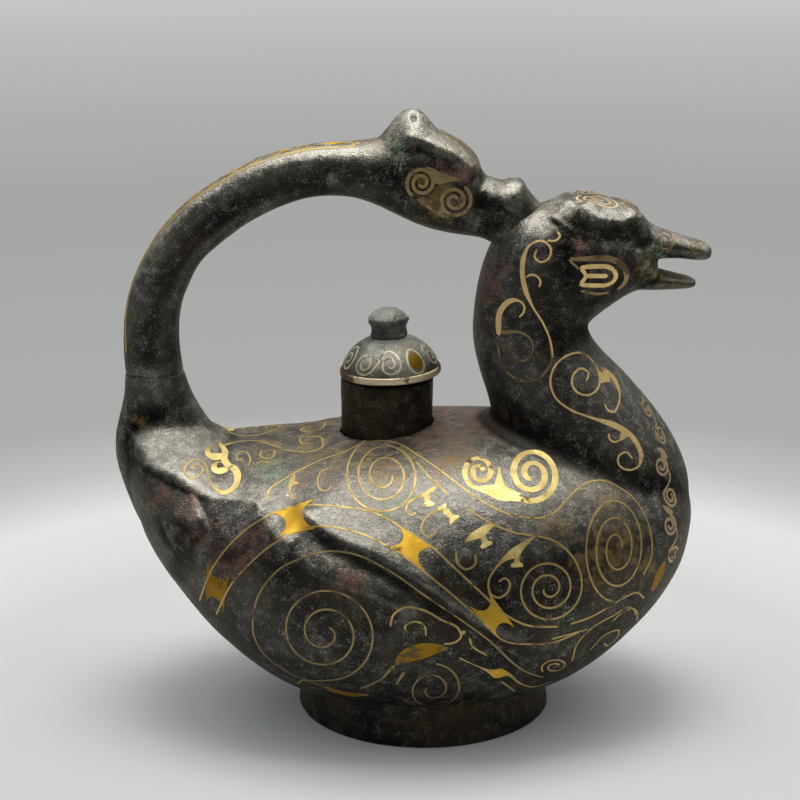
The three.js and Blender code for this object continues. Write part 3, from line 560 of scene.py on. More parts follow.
def turned(name, outline, x, sides, closed=True):
    """A piece turned about an upright axis at x from its (radius, z) outline."""
    put_down()
    bpy.ops.mesh.primitive_circle_add(vertices=len(outline), radius=1, fill_type="NOTHING")
    obj = bpy.context.object
    obj.name = name
    set_points(obj, [(x + r, 0, z) for r, z in outline])
    take(obj)
    if not closed:
        ends = {0, len(outline) - 1}
        pick(obj, "EDGE", [set(edge.vertices) == ends for edge in obj.data.edges])
        bpy.ops.mesh.delete(type="EDGE")
        bpy.ops.mesh.select_mode(type="VERT")
    mode("EDIT")
    bpy.ops.mesh.select_all(action="SELECT")
    bpy.ops.mesh.spin(steps=sides, angle=2 * math.pi, center=(x * MM, 0, 0), axis=(0, 0, 1))
    mode("OBJECT")
    face_outwards(obj)
    return obj


def join(name, *objects):
    take(*objects)
    bpy.ops.object.join()
    obj = bpy.context.object
    obj.name = name
    return obj


def fuse(obj, grain):
    """Melts a piece's overlapping forms into one skin of even faces."""
    take(obj)
    obj.data.remesh_voxel_size = grain * MM
    obj.data.use_remesh_preserve_volume = True
    bpy.ops.object.voxel_remesh()


def smooth_shade(obj, angle=50):
    take(obj)
    bpy.ops.object.shade_smooth_by_angle(angle=math.radians(angle))


def finish_with(obj, kind, weights=None, **values):
    """Adds a modifier, all over or with a weight for each vertex, and applies it."""
    take(obj)
    modifier = obj.modifiers.new(kind.lower(), kind)
    for key, value in values.items():
        setattr(modifier, key, value)
    if weights is not None:
        group = obj.vertex_groups.new(name="weights")
        for i in np.flatnonzero(weights > LEAST_WEIGHT):
            group.add([int(i)], float(weights[i]), "REPLACE")
        modifier.vertex_group = group.name
    bpy.ops.object.modifier_apply(modifier=modifier.name)
    if weights is not None:
        obj.vertex_groups.remove(obj.vertex_groups["weights"])


def soften(obj, turns, weights=None):
    """Rubs a skin smooth, all over or by weights."""
    finish_with(obj, "SMOOTH", weights, factor=0.5, iterations=turns)


def raise_skin(obj, heights):
    """Raises and sinks a skin along its normals by heights in mm."""
    for sign in (1, -1):
        amount = np.maximum(heights * sign, 0)
        most = amount.max()
        if most >= LEAST_RELIEF:
            finish_with(obj, "DISPLACE", amount / most,
                        strength=sign * most * MM, mid_level=0.0, direction="NORMAL")


def lumps(obj, size, height):
    """The uneven swell of a hand-made casting."""
    texture = bpy.data.textures.new("cast swell", "CLOUDS")
    texture.noise_scale = size * MM
    texture.noise_depth = 2
    finish_with(obj, "DISPLACE", texture=texture, texture_coords="LOCAL", strength=height * MM, mid_level=0.5)
    bpy.data.textures.remove(texture)


def round_edges(obj, width, angle):
    """Rounds the edges that turn by more than an angle in degrees."""
    finish_with(obj, "BEVEL", width=width * MM, segments=2,
                limit_method="ANGLE", angle_limit=math.radians(angle))


def split_faces(obj, times):
    finish_with(obj, "SUBSURF", levels=times, render_levels=times, subdivision_type="SIMPLE")


def cut(obj, tool):
    """Cuts a tool's form out of a piece and puts the tool away."""
    finish_with(obj, "BOOLEAN", operation="DIFFERENCE", object=tool, solver="MANIFOLD")
    bpy.data.meshes.remove(tool.data)


def refine(obj, near):
    """Splits the faces that have a marked corner into four."""
    corners = np.empty(len(obj.data.loops), int)
    obj.data.loops.foreach_get("vertex_index", corners)
    starts = np.empty(len(obj.data.polygons), int)
    obj.data.polygons.foreach_get("loop_start", starts)
    pick(obj, "FACE", np.maximum.reduceat(near[corners].astype(int), starts) > 0)
    bpy.ops.mesh.subdivide(number_cuts=1, smoothness=0)
    bpy.ops.mesh.select_mode(type="VERT")
    mode("OBJECT")


def as_drawn(points):
    """Where points in mm lie in the drawing of the side they are on."""
    up = points[:, 2] * math.cos(SIGHT) - np.abs(points[:, 1]) * math.sin(SIGHT)
    return np.column_stack([points[:, 0], up])


def facing(obj):
    """How far each vertex faces the one who drew its side, from 0 to 1."""
    points, normals = points_of(obj), normals_of(obj)
    side = normals[:, 1] * np.sign(points[:, 1]) * math.cos(SIGHT) + normals[:, 2] * math.sin(SIGHT)
    return ramp(side, 0.05, 0.3)


def from_line(drawn, line):
    """Distance to a drawn line, above it positive, and a weight that fades at its ends."""
    line = np.array(line, float)
    lengths = np.linalg.norm(np.diff(line, axis=0), axis=1)
    starts = travel_along(line)
    best = np.full(len(drawn), 1e9)
    signed = np.zeros(len(drawn))
    share = np.zeros(len(drawn))
    for a, b, start, length in zip(line, line[1:], starts, lengths):
        along = (b - a) / length
        off = drawn - a
        t = np.clip(off @ along, 0, length)
        distance = np.linalg.norm(off - t[:, None] * along, axis=1)
        near = distance < best
        best[near] = distance[near]
        side = along[0] * off[near, 1] - along[1] * off[near, 0]
        signed[near] = distance[near] * np.where(side >= 0, 1, -1)
        share[near] = (start + t[near]) / starts[-1]
    fade = np.clip(np.minimum(share, 1 - share) / END_FADE + END_HEIGHT, 0, 1)
    return signed, fade


def near_lines(drawn, strokes, reach):
    """Marks the points that lie within reach of any stroke."""
    marked = np.zeros(len(drawn), bool)
    for stroke in strokes:
        marked |= np.abs(from_line(drawn, stroke[0])[0]) < reach
    return marked


def relief(drawn, crests, ridges):
    """Heights of crests, which fall away above and below their edge, and of ridges and hollows."""
    folds, rounds = np.zeros(len(drawn)), np.zeros(len(drawn))
    for line, height, above, below, edge in crests:
        away, fade = from_line(drawn, line)
        run = np.sqrt(away**2 + edge**2) - edge
        folds += height * fade * np.exp(-run / np.where(away > 0, above, below))
    for line, height, half, square in ridges:
        away, fade = from_line(drawn, line)
        rounds += height * fade * np.exp(-np.abs(away / half) ** square)
    return folds + rounds


def glow(drawn, places):
    """How near drawn points lie to places that have a radius, from 0 to 1."""
    full = np.zeros(len(drawn))
    for x, up, radius in places:
        full = np.maximum(full, bell(np.hypot(drawn[:, 0] - x, drawn[:, 1] - up), 0, radius))
    return full


def mask(obj, name, values):
    """An attribute on a piece with a value for each vertex."""
    layer = obj.data.attributes.new(name, "FLOAT", "POINT")
    layer.data.foreach_set("value", values.astype(np.float32))


def note_wear(obj, turns, full):
    """A mask on a piece of what stands out and what lies deep."""
    points = points_of(obj)
    count = len(points)
    pairs = np.empty(len(obj.data.edges) * 2, int)
    obj.data.edges.foreach_get("vertices", pairs)
    a, b = pairs[::2], pairs[1::2]
    edges = np.maximum(np.bincount(pairs, minlength=count), 1)
    calm = points.copy()
    for _ in range(turns):
        calm = np.column_stack([
            (np.bincount(a, calm[b, k], count) + np.bincount(b, calm[a, k], count)) / edges for k in range(3)
        ])
    proud = np.einsum("ij,ij->i", points - calm, normals_of(obj)) / full
    mask(obj, "worn", np.clip(proud, -1, 1))


def note_tops(obj, places=(), low=0.3, level=0.0, paler=()):
    """A mask of painted sheen on what faces up, which makes it paler and glossier as if lit from above.

    Some places get more of it, level ones less by `level`, and others are made a little paler."""
    points, rise = points_of(obj), normals_of(obj)[:, 2]
    tops = np.maximum(ramp(points[:, 2], 136, -8), ramp(points[:, 2], 214, 4))
    up = ramp(rise, low, 0.45) * (1 - level * tops * ramp(rise, 0.88, 0.08))
    drawn = as_drawn(points)
    mask(obj, "painted_sheen_and_wear", up * (1 + 0.45 * glow(drawn, places)) + 0.12 * glow(drawn, paler))


def stain(obj, stains):
    """Masks on a piece that are full at the spots of its stains and fade round them."""
    drawn = as_drawn(points_of(obj))
    for name, places in stains.items():
        mask(obj, name, glow(drawn, places))


# Inlay -----------------------------------------------------------------------------------------

EYE_AWAY = 0.3  # metres from a drawing to the eye that looks at it
THIN_LINE = 3  # mm; lines below this width end in round tips
BROAD_FIELD = 2.7  # mm; ribbons above this width follow the bronze across as well
BROAD_FACES, THIN_FACES = 6, 2  # faces across a ribbon
FINE_STEP = 0.2  # mm between the points that a line is eased through


def eased(path, width, step):
    """Even points of a smooth line through the drawn ones, as (a, b, width)."""
    drawn = np.array([(*p[:2], p[2] if len(p) > 2 else width) for p in path], float)
    knots = travel_along(drawn[:, :2])
    if len(drawn) > 2:
        slopes = np.gradient(drawn, knots, axis=0)
    else:
        slopes = np.repeat(np.diff(drawn, axis=0) / knots[-1], 2, 0)
    fine = []
    for i in range(len(drawn) - 1):
        gap = knots[i + 1] - knots[i]
        for s in np.linspace(0, 1, max(3, int(gap / FINE_STEP)), endpoint=False):
            fine.append(
                drawn[i] * (2 * s**3 - 3 * s**2 + 1) + slopes[i] * gap * (s**3 - 2 * s**2 + s)
                + drawn[i + 1] * (3 * s**2 - 2 * s**3) + slopes[i + 1] * gap * (s**3 - s**2)
            )
    fine = np.array([*fine, drawn[-1]])
    run = travel_along(fine[:, :2])
    even = np.linspace(0, run[-1], max(3, int(math.ceil(run[-1] / step)) + 1))
    line = np.column_stack([np.interp(even, run, fine[:, k]) for k in range(3)])
    for end in (even, run[-1] - even):
        tip = np.clip(end / np.maximum(line[:, 2] / 2, 1e-6), 0, 1)
        thin = line[:, 2] < THIN_LINE
        line[:, 2] *= np.where(thin, np.sqrt(np.clip(1 - (1 - tip) ** 2, 0.06, 1)), 1)
    return line


class Seen:
    """Finds where drawn points lie on a piece, looked at in one way."""

    def __init__(self, host, look):
        self.tree = BVHTree.FromObject(host, bpy.context.evaluated_depsgraph_get())
        self.look = look

    def hit(self, a, b):
        return self.tree.ray_cast(*self.look(a, b))[:2]

    def near(self, point):
        return self.tree.find_nearest(point)[:2]


def looking(across, up, sight):
    """Looks along a sight at a drawing that has two axes."""
    across, up, sight = Vector(across), Vector(up), Vector(sight)
    return lambda a, b: ((across * a + up * b) * MM - sight * EYE_AWAY, sight)


def from_side(sign):
    """Looks at the pot's right (-1) or left (1) side, a little from above."""
    rise, reach = math.sin(SIGHT), math.cos(SIGHT)
    return looking((1, 0, 0), (0, -sign * rise, reach), (0, -sign * reach, -rise))


def from_corner(sign):
    """Looks at the breast from between the front and one side."""
    half = math.sqrt(0.5)
    return looking((half, -sign * half, 0), (0, 0, 1), (-half, -sign * half, 0))


def from_above(sign):
    """Looks down on the head, with one side's y counted outwards."""
    return looking((1, 0, 0), (0, sign, 0), (0, 0, -1))


def from_round(turn, height):
    """Looks at the lid's dome from all round, before it is set in place."""
    angle = turn / LID_LINE_RADIUS
    out = Vector((math.sin(angle), -math.cos(angle), 0))
    return out * 0.1 + Vector((0, 0, height * MM)), -out


def from_outside():
    """Looks at the bail's outer face, all along its arch."""
    rows = rows_between(BAIL, 8)
    run = travel_along(rows[:, 0:2])
    def look(along, y):
        px, pz, qx, qz = (np.interp(along, run, rows[:, k]) for k in range(4))
        sight = Vector((qx - px, 0, qz - pz)).normalized()
        return Vector((px * MM, y * MM, pz * MM)) - sight * 0.02, sight
    return look


def inlay(name, seen, paths, width, stand=0.1, depth=0.6, step=0.7):
    """Ribbons of gold let into a piece along drawn paths, as one mesh."""
    points, faces, fields = [], [], []
    for path in paths:
        line = eased(path, width, step)
        hits = [seen.hit(a, b) for a, b, _ in line]
        kept = [(place, normal, w) for (place, normal), (_, _, w) in zip(hits, line) if place is not None]
        if len(kept) < 3:
            raise RuntimeError(f"{name}: a path misses the piece near {path[0]}")
        broad = max(w for _, _, w in kept) > BROAD_FIELD
        across = BROAD_FACES if broad else THIN_FACES
        first = len(points)
        for i, (place, normal, w) in enumerate(kept):
            ahead = kept[min(i + 1, len(kept) - 1)][0] - kept[max(i - 1, 0)][0]
            side = normal.cross(ahead).normalized()
            for k in range(across + 1):
                on, out = seen.near(place + side * ((k / across - 0.5) * w * MM))
                points.append(on + out * (stand * MM))
                fields.append(min(1, max(0, (w - 1.5) / 2)) if broad else 0)
        for i in range(len(kept) - 1):
            for k in range(across):
                a = first + i * (across + 1) + k
                faces.append((a, a + across + 1, a + across + 2, a + 1))
    mesh = bpy.data.meshes.new(name)
    mesh.from_pydata(points, [], faces)
    obj = bpy.data.objects.new(name, mesh)
    mask(obj, "field", np.array(fields))
    bpy.context.scene.collection.objects.link(obj)
    face = mesh.polygons[0]
    if face.normal.dot(seen.near(face.center)[1]) < 0:
        mesh.flip_normals()
    finish_with(obj, "SOLIDIFY", thickness=depth * MM, offset=-1)
    smooth_shade(obj, 40)
    return obj


# Finishes --------------------------------------------------------------------------------------

NUMBER, COLOUR, VECTOR = "NodeSocketFloat", "NodeSocketColor", "NodeSocketVector"
GRAINS = ("Mottle", "Patch", "Speck")
# The second mask is a painted sheen on what faces up
MASKS = {
    "Worn": "worn", "Rubbed": "painted_sheen_and_wear", "Russet mask": "russet", "Green mask": "green", "Olive mask": "olive",
}
TONES = ("Deep", "Brown", "Ash", "Russet", "Green", "Olive")


def new_group(name, inputs, outputs):
    tree = bpy.data.node_groups.new(name, "ShaderNodeTree")
    for kind, label, default in inputs:
        socket = tree.interface.new_socket(label, in_out="INPUT", socket_type=kind)
        if default is not None:
            socket.default_value = default
    for kind, label in outputs:
        tree.interface.new_socket(label, in_out="OUTPUT", socket_type=kind)
    return tree, tree.nodes.new("NodeGroupInput").outputs, tree.nodes.new("NodeGroupOutput")


def new_material(name):
    material = bpy.data.materials.new(name)
    material.use_nodes = True
    return material, material.node_tree, material.node_tree.nodes["Principled BSDF"]


def fill(tree, node, inputs):
    """Sets or links a node's inputs, by their names or numbers."""
    for key, value in inputs.items():
        if isinstance(value, bpy.types.NodeSocket):
            tree.links.new(value, node.inputs[key])
        else:
            node.inputs[key].default_value = value
    return node


def add(tree, kind, inputs=None, **settings):
    """A new node with its settings and inputs."""
    node = tree.nodes.new(f"ShaderNode{kind}")
    for key, value in settings.items():
        setattr(node, key, value)
    return fill(tree, node, inputs or {})


def noise(tree, vector, scale, detail, rough):
    inputs = {"Vector": vector, "Scale": scale, "Detail": detail, "Roughness": rough}
    return add(tree, "TexNoise", inputs).outputs["Fac"]


def spread(tree, value, low, high, to_low=0.0, to_high=1.0):
    inputs = {"Value": value, "From Min": low, "From Max": high, "To Min": to_low, "To Max": to_high}
    return add(tree, "MapRange", inputs, interpolation_type="SMOOTHSTEP").outputs["Result"]


def sum_of(tree, a, b, operation="ADD"):
    return add(tree, "Math", {0: a, 1: b}, operation=operation).outputs[0]


def times(tree, a, b):
    return sum_of(tree, a, b, "MULTIPLY")


def weighed(tree, *parts):
    """The sum of values, each times its weight."""
    total, *rest = [times(tree, value, weight) for value, weight in parts]
    for part in rest:
        total = sum_of(tree, total, part)
    return total


def blend(tree, share, a, b):
    """A colour between two; the numbers are those of the mix node's colour sockets."""
    return add(tree, "Mix", {0: share, 6: a, 7: b}, data_type="RGBA").outputs[2]


def object_place(tree):
    return add(tree, "TexCoord").outputs["Object"]


def mask_of(tree, name):
    return add(tree, "Attribute", attribute_name=name).outputs["Fac"]


def cast_grain():
    """Node group: the mottle, specks and pits of a sand casting."""
    found = bpy.data.node_groups.get("cast grain")
    if found:
        return found
    outputs = [(NUMBER, label) for label in (*GRAINS, "Height")]
    tree, given, made = new_group("cast grain", [(VECTOR, "Vector", None)], outputs)
    vector = given["Vector"]
    mottle = spread(tree, noise(tree, vector, 42, 5, 0.6), 0.38, 0.64)
    patch = spread(tree, noise(tree, vector, 210, 4, 0.62), 0.38, 0.64)
    speck = spread(tree, noise(tree, vector, 1500, 2, 0.6), 0.44, 0.7)
    cells = add(tree, "TexVoronoi", {"Vector": vector, "Scale": 380}).outputs["Distance"]
    height = weighed(tree, (patch, 0.6), (speck, 0.25), (spread(tree, cells, 0.05, 0.3), 0.35))
    fill(tree, made, {"Mottle": mottle, "Patch": patch, "Speck": speck, "Height": height})
    return tree


def stained(tree, tone, where, breaks, low, high, most, colour):
    """Lays a stain over a tone where its mask meets the breaks of the grain."""
    amount = spread(tree, times(tree, where, breaks), low, high, 0, most)
    return blend(tree, amount, tone, colour), amount


def patina():
    """Node group: the colour and gloss of old bronze from its grain, its wear, its stains and a painted sheen
    on what faces up.
    """
    found = bpy.data.node_groups.get("patina")
    if found:
        return found
    inputs = [(NUMBER, label, 0.0) for label in (*GRAINS, *MASKS)]
    inputs += [(COLOUR, label, (0, 0, 0, 1)) for label in TONES]
    tree, get, made = new_group("patina", inputs, [(COLOUR, "Color"), (NUMBER, "Roughness")])
    mottle, patch, speck = (get[label] for label in GRAINS)
    proud = spread(tree, get["Worn"], 0.08, 0.7)
    hollow = spread(tree, get["Worn"], -0.7, -0.12, 1, 0)
    tone = blend(tree, mottle, get["Deep"], get["Brown"])
    # Painted sheen on what faces up, with wear on what stands out; both pale the tone towards ash
    painted_sheen_and_wear = weighed(tree, (get["Rubbed"], 0.7), (proud, 0.3))
    fleck = weighed(tree, (speck, 0.55), (patch, 0.5))
    pale = times(tree, sum_of(tree, painted_sheen_and_wear, 0.02), spread(tree, fleck, 0, 1, 0.4, 0.85))
    pale = sum_of(tree, pale, spread(tree, fleck, 0.35, 0.95, 0, 0.17))
    pale = sum_of(tree, pale, spread(tree, times(tree, speck, patch), 0.7, 0.95, 0, 0.3))
    tone = blend(tree, pale, tone, get["Ash"])
    patchy = sum_of(tree, patch, 0.35)
    broken = weighed(tree, (speck, 0.6), (patch, 0.5))
    tone, _ = stained(tree, tone, get["Russet mask"], patchy, 0.1, 1.1, 0.58, get["Russet"])
    tone, _ = stained(tree, tone, get["Olive mask"], patchy, 0.05, 1.2, 0.5, get["Olive"])
    tone, green = stained(tree, tone, get["Green mask"], broken, 0.2, 0.75, 0.85, get["Green"])
    tone = blend(tree, times(tree, hollow, 0.75), tone, get["Deep"])
    rough = sum_of(tree, weighed(tree, (patch, 0.14), (mottle, 0.08)), 0.38)
    rough = sum_of(tree, rough, times(tree, green, 0.3))
    rough = sum_of(tree, rough, times(tree, hollow, 0.15))
    fill(tree, made, {"Color": tone, "Roughness": rough})
    return tree


def grained(tree):
    """The cast grain of a piece."""
    return add(tree, "Group", {"Vector": object_place(tree)}, node_tree=cast_grain()).outputs


def bumped(tree, grain, strength, distance):
    inputs = {"Strength": strength, "Distance": distance * MM, "Height": grain["Height"]}
    return add(tree, "Bump", inputs).outputs["Normal"]


def bronze(name, tones, metallic, pitted):
    """A patinated bronze in its six tones."""
    material, tree, shader = new_material(name)
    grain = grained(tree)
    inputs = {label: grain[label] for label in GRAINS}
    inputs.update({label: mask_of(tree, attribute) for label, attribute in MASKS.items()})
    inputs.update({label: (*tone, 1) for label, tone in zip(TONES, tones)})
    old = add(tree, "Group", inputs, node_tree=patina()).outputs
    fill(tree, shader, {
        "Base Color": old["Color"],
        "Roughness": old["Roughness"],
        "Metallic": metallic,
        "Specular IOR Level": 0.3,
        "Specular Tint": (0.75, 0.72, 0.66, 1),
        "Normal": bumped(tree, grain, pitted, 0.4),
    })
    return material


def gold_leaf(name, wire, sheet, tarnish, wear):
    """Gold wire and sheet, worn to brown in patches."""
    material, tree, shader = new_material(name)
    grain = grained(tree)
    worn = weighed(tree, (grain["Mottle"], 0.55), (grain["Patch"], 0.45))
    worn = spread(tree, worn, 0.95 - wear, 1.25 - wear)
    tone = blend(tree, mask_of(tree, "field"), (*wire, 1), (*sheet, 1))
    fill(tree, shader, {
        "Base Color": blend(tree, worn, tone, (*tarnish, 1)),
        "Roughness": spread(tree, grain["Patch"], 0, 1, 0.52, 0.68),
        "Metallic": spread(tree, worn, 0, 1, 0.9, 0.4),
        "Normal": bumped(tree, grain, 0.3, 0.2),
    })
    return material


# Settings of a gold's wire and of its sheet, and how far it is worn
GOLDS = {
    "worn gold": ("wire", "gold", 0.25),
    # Painted highlight: the gold of the back and the tail is paler where it catches the light
    "gold with painted highlight": ("wire", "pale", 0.25),
    # Painted light: the gold of the neck and the eye is brighter
    "gold with painted light": ("bright", "bright", 0.2),
    "old gold": ("old_wire", "old", 0.35),
    "tan gold": ("tan", "tan", 0.2),
    "buff gold": ("buff", "buff", 0.3),
    # Painted shade: this gold's wire tone darkens the lid rim's ends
    "rim gold with painted shade": ("tarnish", "tan", 0.3),
    "dull gold": ("dull", "dull", 0.6),
}
# Deep, brown and ash tones of a bronze that has its own, how metallic and how pitted it is
BRONZES = {
    "knob bronze": (((0.04, 0.046, 0.04), (0.2, 0.2, 0.165), (0.8, 0.81, 0.73)), 0.7, 0.9),
    "collar bronze": (((0.009, 0.009, 0.008), (0.05, 0.036, 0.021), (0.4, 0.38, 0.32)), 0.8, 0.9),
}


def finished(name):
    """The pot's finishes by name, each made once."""
    found = bpy.data.materials.get(name)
    if found:
        return found
    look = bpy.context.scene.duck_pot
    if name in GOLDS:
        wire, sheet, wear = GOLDS[name]
        return gold_leaf(name, getattr(look, wire), getattr(look, sheet), look.tarnish, wear)
    tones, metallic, pitted = BRONZES.get(name, ((look.deep, look.brown, look.ash), 0.85, 0.6))
    return bronze(name, (*tones, look.russet, look.green, look.olive), metallic, pitted)


def hand_over(obj, finish, slot, body, *nodes):
    """Gives a finished piece its finish and its body, in place of CAD nodes; the slot is not used."""
    obj.data.materials.clear()
    obj.data.materials.append(finished(finish))
    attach(obj, body)
    if nodes:
        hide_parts(*nodes)


# Settings --------------------------------------------------------------------------------------


class DuckPotSettings(bpy.types.PropertyGroup):
    """Sizes and colours of the duck pot."""

    body_grain: bpy.props.FloatProperty(
        name="Body grain", description="Size of the faces of the cast body", default=1.56 * MM, unit="LENGTH")
    bail_grain: bpy.props.FloatProperty(
        name="Bail grain", description="Size of the faces of the bail", default=0.9 * MM, unit="LENGTH")
    wall: bpy.props.FloatProperty(
        name="Wall", description="Thickness of the cast wall", default=6.5 * MM, unit="LENGTH")
    gold_line: bpy.props.FloatProperty(
        name="Gold line", description="Width of a plain gold line", default=0.85 * MM, unit="LENGTH")
    deep: bpy.props.FloatVectorProperty(
        name="Deep bronze", description="Darkest tone of the patina", default=(0.006, 0.0058, 0.0053),
        subtype="COLOR")
    brown: bpy.props.FloatVectorProperty(
        name="Brown bronze", description="Warm tone of the patina", default=(0.03, 0.0245, 0.017),
        subtype="COLOR")
    # Ash is also the tone of the painted sheen on what faces up
    ash: bpy.props.FloatVectorProperty(
        name="Ash", description="Pale specks of the patina", default=(0.56, 0.54, 0.475), subtype="COLOR")
    russet: bpy.props.FloatVectorProperty(
        name="Russet", description="Red-brown stains", default=(0.24, 0.115, 0.09), subtype="COLOR")
    green: bpy.props.FloatVectorProperty(
        name="Green", description="Pale green corrosion", default=(0.3, 0.42, 0.3), subtype="COLOR")
    olive: bpy.props.FloatVectorProperty(
        name="Olive", description="Olive stain round the gold", default=(0.27, 0.185, 0.045), subtype="COLOR")
    gold: bpy.props.FloatVectorProperty(
        name="Sheet gold", description="Broad fields of gold", default=(0.72, 0.44, 0.045), subtype="COLOR")
    wire: bpy.props.FloatVectorProperty(
        name="Wire gold", description="Thin lines of gold", default=(0.5, 0.38, 0.15), subtype="COLOR")
    # Painted highlight: paler gold for the back and the tail where they catch the light
    pale: bpy.props.FloatVectorProperty(
        name="Pale gold", description="Broad fields of gold on the back", default=(0.9, 0.74, 0.31),
        subtype="COLOR")
    # Painted light: brighter gold for the neck and the eye
    bright: bpy.props.FloatVectorProperty(
        name="Bright gold", description="Gold of the neck and the eye", default=(0.92, 0.7, 0.33),
        subtype="COLOR")
    old: bpy.props.FloatVectorProperty(
        name="Old gold", description="Dark fields of gold on the flank", default=(0.3, 0.165, 0.012),
        subtype="COLOR")
    old_wire: bpy.props.FloatVectorProperty(
        name="Old wire", description="Dark lines of gold on the flank", default=(0.32, 0.25, 0.12),
        subtype="COLOR")
    tan: bpy.props.FloatVectorProperty(
        name="Tan gold", description="Rim and lines of the lid", default=(0.85, 0.74, 0.5), subtype="COLOR")
    buff: bpy.props.FloatVectorProperty(
        name="Buff gold", description="Lines of the chest and the crown", default=(0.56, 0.44, 0.26),
        subtype="COLOR")
    dull: bpy.props.FloatVectorProperty(
        name="Dull gold", description="Gold that has lost its gloss", default=(0.36, 0.27, 0.13),
        subtype="COLOR")
    # Tarnish also serves as the painted shade at the lid rim's ends
    tarnish: bpy.props.FloatVectorProperty(
        name="Tarnish", description="Gold worn to brown", default=(0.12, 0.075, 0.03), subtype="COLOR")
    lamp: bpy.props.FloatProperty(
        name="Lamp", description="Power of the small overhead light in watts", default=5.4, unit="POWER")
    panel: bpy.props.FloatProperty(
        name="Panel", description="Power of the broad light behind it in watts", default=8.0, unit="POWER")


# Operators -------------------------------------------------------------------------------------

DONE = {"FINISHED"}
SIDES = (("right", -1), ("left", 1))
FOOT_X = 6.5
FILLER_X = -9.5
FOOT = [
    (50.2, 0), (54.4, 0), (55, 0.6), (54.9, 2.5), (54.2, 6), (53.4, 10), (53.2, 16), (52.5, 19), (48.6, 19),
    (48.6, 6),
]
COLLAR = [
    (17, 121.5), (19.4, 121.5), (19.6, 126), (19.5, 131), (19.6, 138), (19.8, 144), (19.8, 147.2),
    (19.3, 147.8), (17.5, 147.8), (17, 147.2), (17, 134),
]
LID_EDGE = [(20.6, 0), (21, 0.3), (21, 0.8)]
LID_RIM = [(20.5, 0.5), (21.3, 0.5), (21.6, 0.9), (21.5, 2.9), (21.1, 3.3), (20.4, 3.3)]
LID_SLEEVE = [(12.8, -9), (14.4, -9), (14.4, 10), (12.8, 10)]
KNOB = [
    (0, 17.6), (8.3, 17.0), (7.8, 18.6), (7.6, 19.8), (7.9, 21.2), (9, 23.4), (8.8, 24.6), (6.8, 26.6),
    (4.4, 28.2), (2, 28.7), (0, 28.8),
]
LID_PLACE = (-7.9, 0, 149.03)
LID_TILT = -2.5
LID_RADIUS = 21.4
LID_RISE = 18


class CastBody(bpy.types.Operator):
    """Cast the duck's body, tail, neck and head as one skin with a hollow inside"""

    bl_idname = "duck_pot.cast_body"
    bl_label = "Cast the body"
    FORMS = (
        ("belly", BODY, 72), ("tail", TAIL, 56), ("deck", DECK, 56), ("neck", NECK, 56),
        ("upper bill", UPPER_BILL, 32), ("lower bill", LOWER_BILL, 32),
    )
    # name, x, radius, from and to which height
    HOLES = (("filler hole", FILLER_X, 20.1, 62, 180), ("core hole", FOOT_X, 20, -5, 60))
    PASSAGE_WALL = 7

    def execute(self, context):
        look = context.scene.duck_pot
        skin = join("duck_body", *[loft(*form) for form in self.FORMS])
        fuse(skin, look.body_grain / MM)
        self.melt_joints(skin)
        lumps(skin, 34, 1.1)
        self.chase(skin)
        note_wear(skin, 40, 1.6)
        # Painted sheen on what faces up, more at the sheen spots; the paler spots get a little too
        note_tops(skin, PAINTED_SHEEN_SPOTS, 0.3, 0.35, PALER_SPOTS)
        cut(skin, loft("hollow", BODY, 40, 3, look.wall / MM))
        cut(skin, loft("passage", NECK, 28, 3, self.PASSAGE_WALL))
        cut(skin, loft("mouth", MOUTH, 24, 2))
        for name, at, radius, low, high in self.HOLES:
            cut(skin, turned(name, [(0, low), (radius, low), (radius, high), (0, high)], at, 48, False))
        stain(skin, BODY_STAINS)
        smooth_shade(skin)
        hand_over(skin, "patinated bronze", "bronze", "pot", "body_shell", "neck_spout")
        return DONE

    def melt_joints(self, skin):
        """Rounds off the joints of the forms, less at the head, more at the neck's root and the tail stub."""
        drawn = as_drawn(points_of(skin))
        head = ramp(drawn[:, 1], 165, 12) * ramp(drawn[:, 0], 60, 8)
        soften(skin, 14, 1 - 0.75 * head)
        x, _, z = points_of(skin).T
        root = bell(z, 122, 14) * ramp(x, 22, 10)
        stub = bell(z, 134, 9) * ramp(x, -70, -8)
        soften(skin, 30, np.clip(root + stub, 0, 1))

    def chase(self, skin):
        """Chases the relief into the skin, with finer faces along its crests and on the head."""
        drawn = as_drawn(points_of(skin))
        crests = near_lines(drawn, BODY_CRESTS, 3) & (facing(skin) > 0.05)
        refine(skin, crests | ((drawn[:, 1] > 172) & (drawn[:, 0] > 58)))
        drawn = as_drawn(points_of(skin))
        on_body = ramp(drawn[:, 1], 150, -5)
        heights = relief(drawn, BODY_CRESTS, BODY_RIDGES) * on_body
        heights += relief(drawn, HEAD_CRESTS, HEAD_RIDGES) * (1 - on_body)
        raise_skin(skin, heights * facing(skin))
        x, _, z = points_of(skin).T
        mouth_corner = bell(x, 102.5, 3.5) * bell(z, 197.3, 4.5)
        soften(skin, 8, mouth_corner)
        soften(skin, 1)


class CastBail(bpy.types.Operator):
    """Cast the bail with its beast head"""

    bl_idname = "duck_pot.cast_bail"
    bl_label = "Cast the bail"

    def execute(self, context):
        bail = join("bail_arm", loft("arm", BAIL, 48), loft("horn", HORN, 40))
        fuse(bail, context.scene.duck_pot.bail_grain / MM)
        soften(bail, 8)
        lumps(bail, 16, 0.6)
        raise_skin(bail, relief(as_drawn(points_of(bail)), BAIL_CRESTS, BAIL_RIDGES) * facing(bail))
        soften(bail, 1)
        note_wear(bail, 40, 1.2)
        # Painted sheen on what faces up on the bail
        note_tops(bail, low=0.1)
        stain(bail, BAIL_STAINS)
        smooth_shade(bail)
        hand_over(bail, "patinated bronze", "bronze", "pot", "bail")
        return DONE


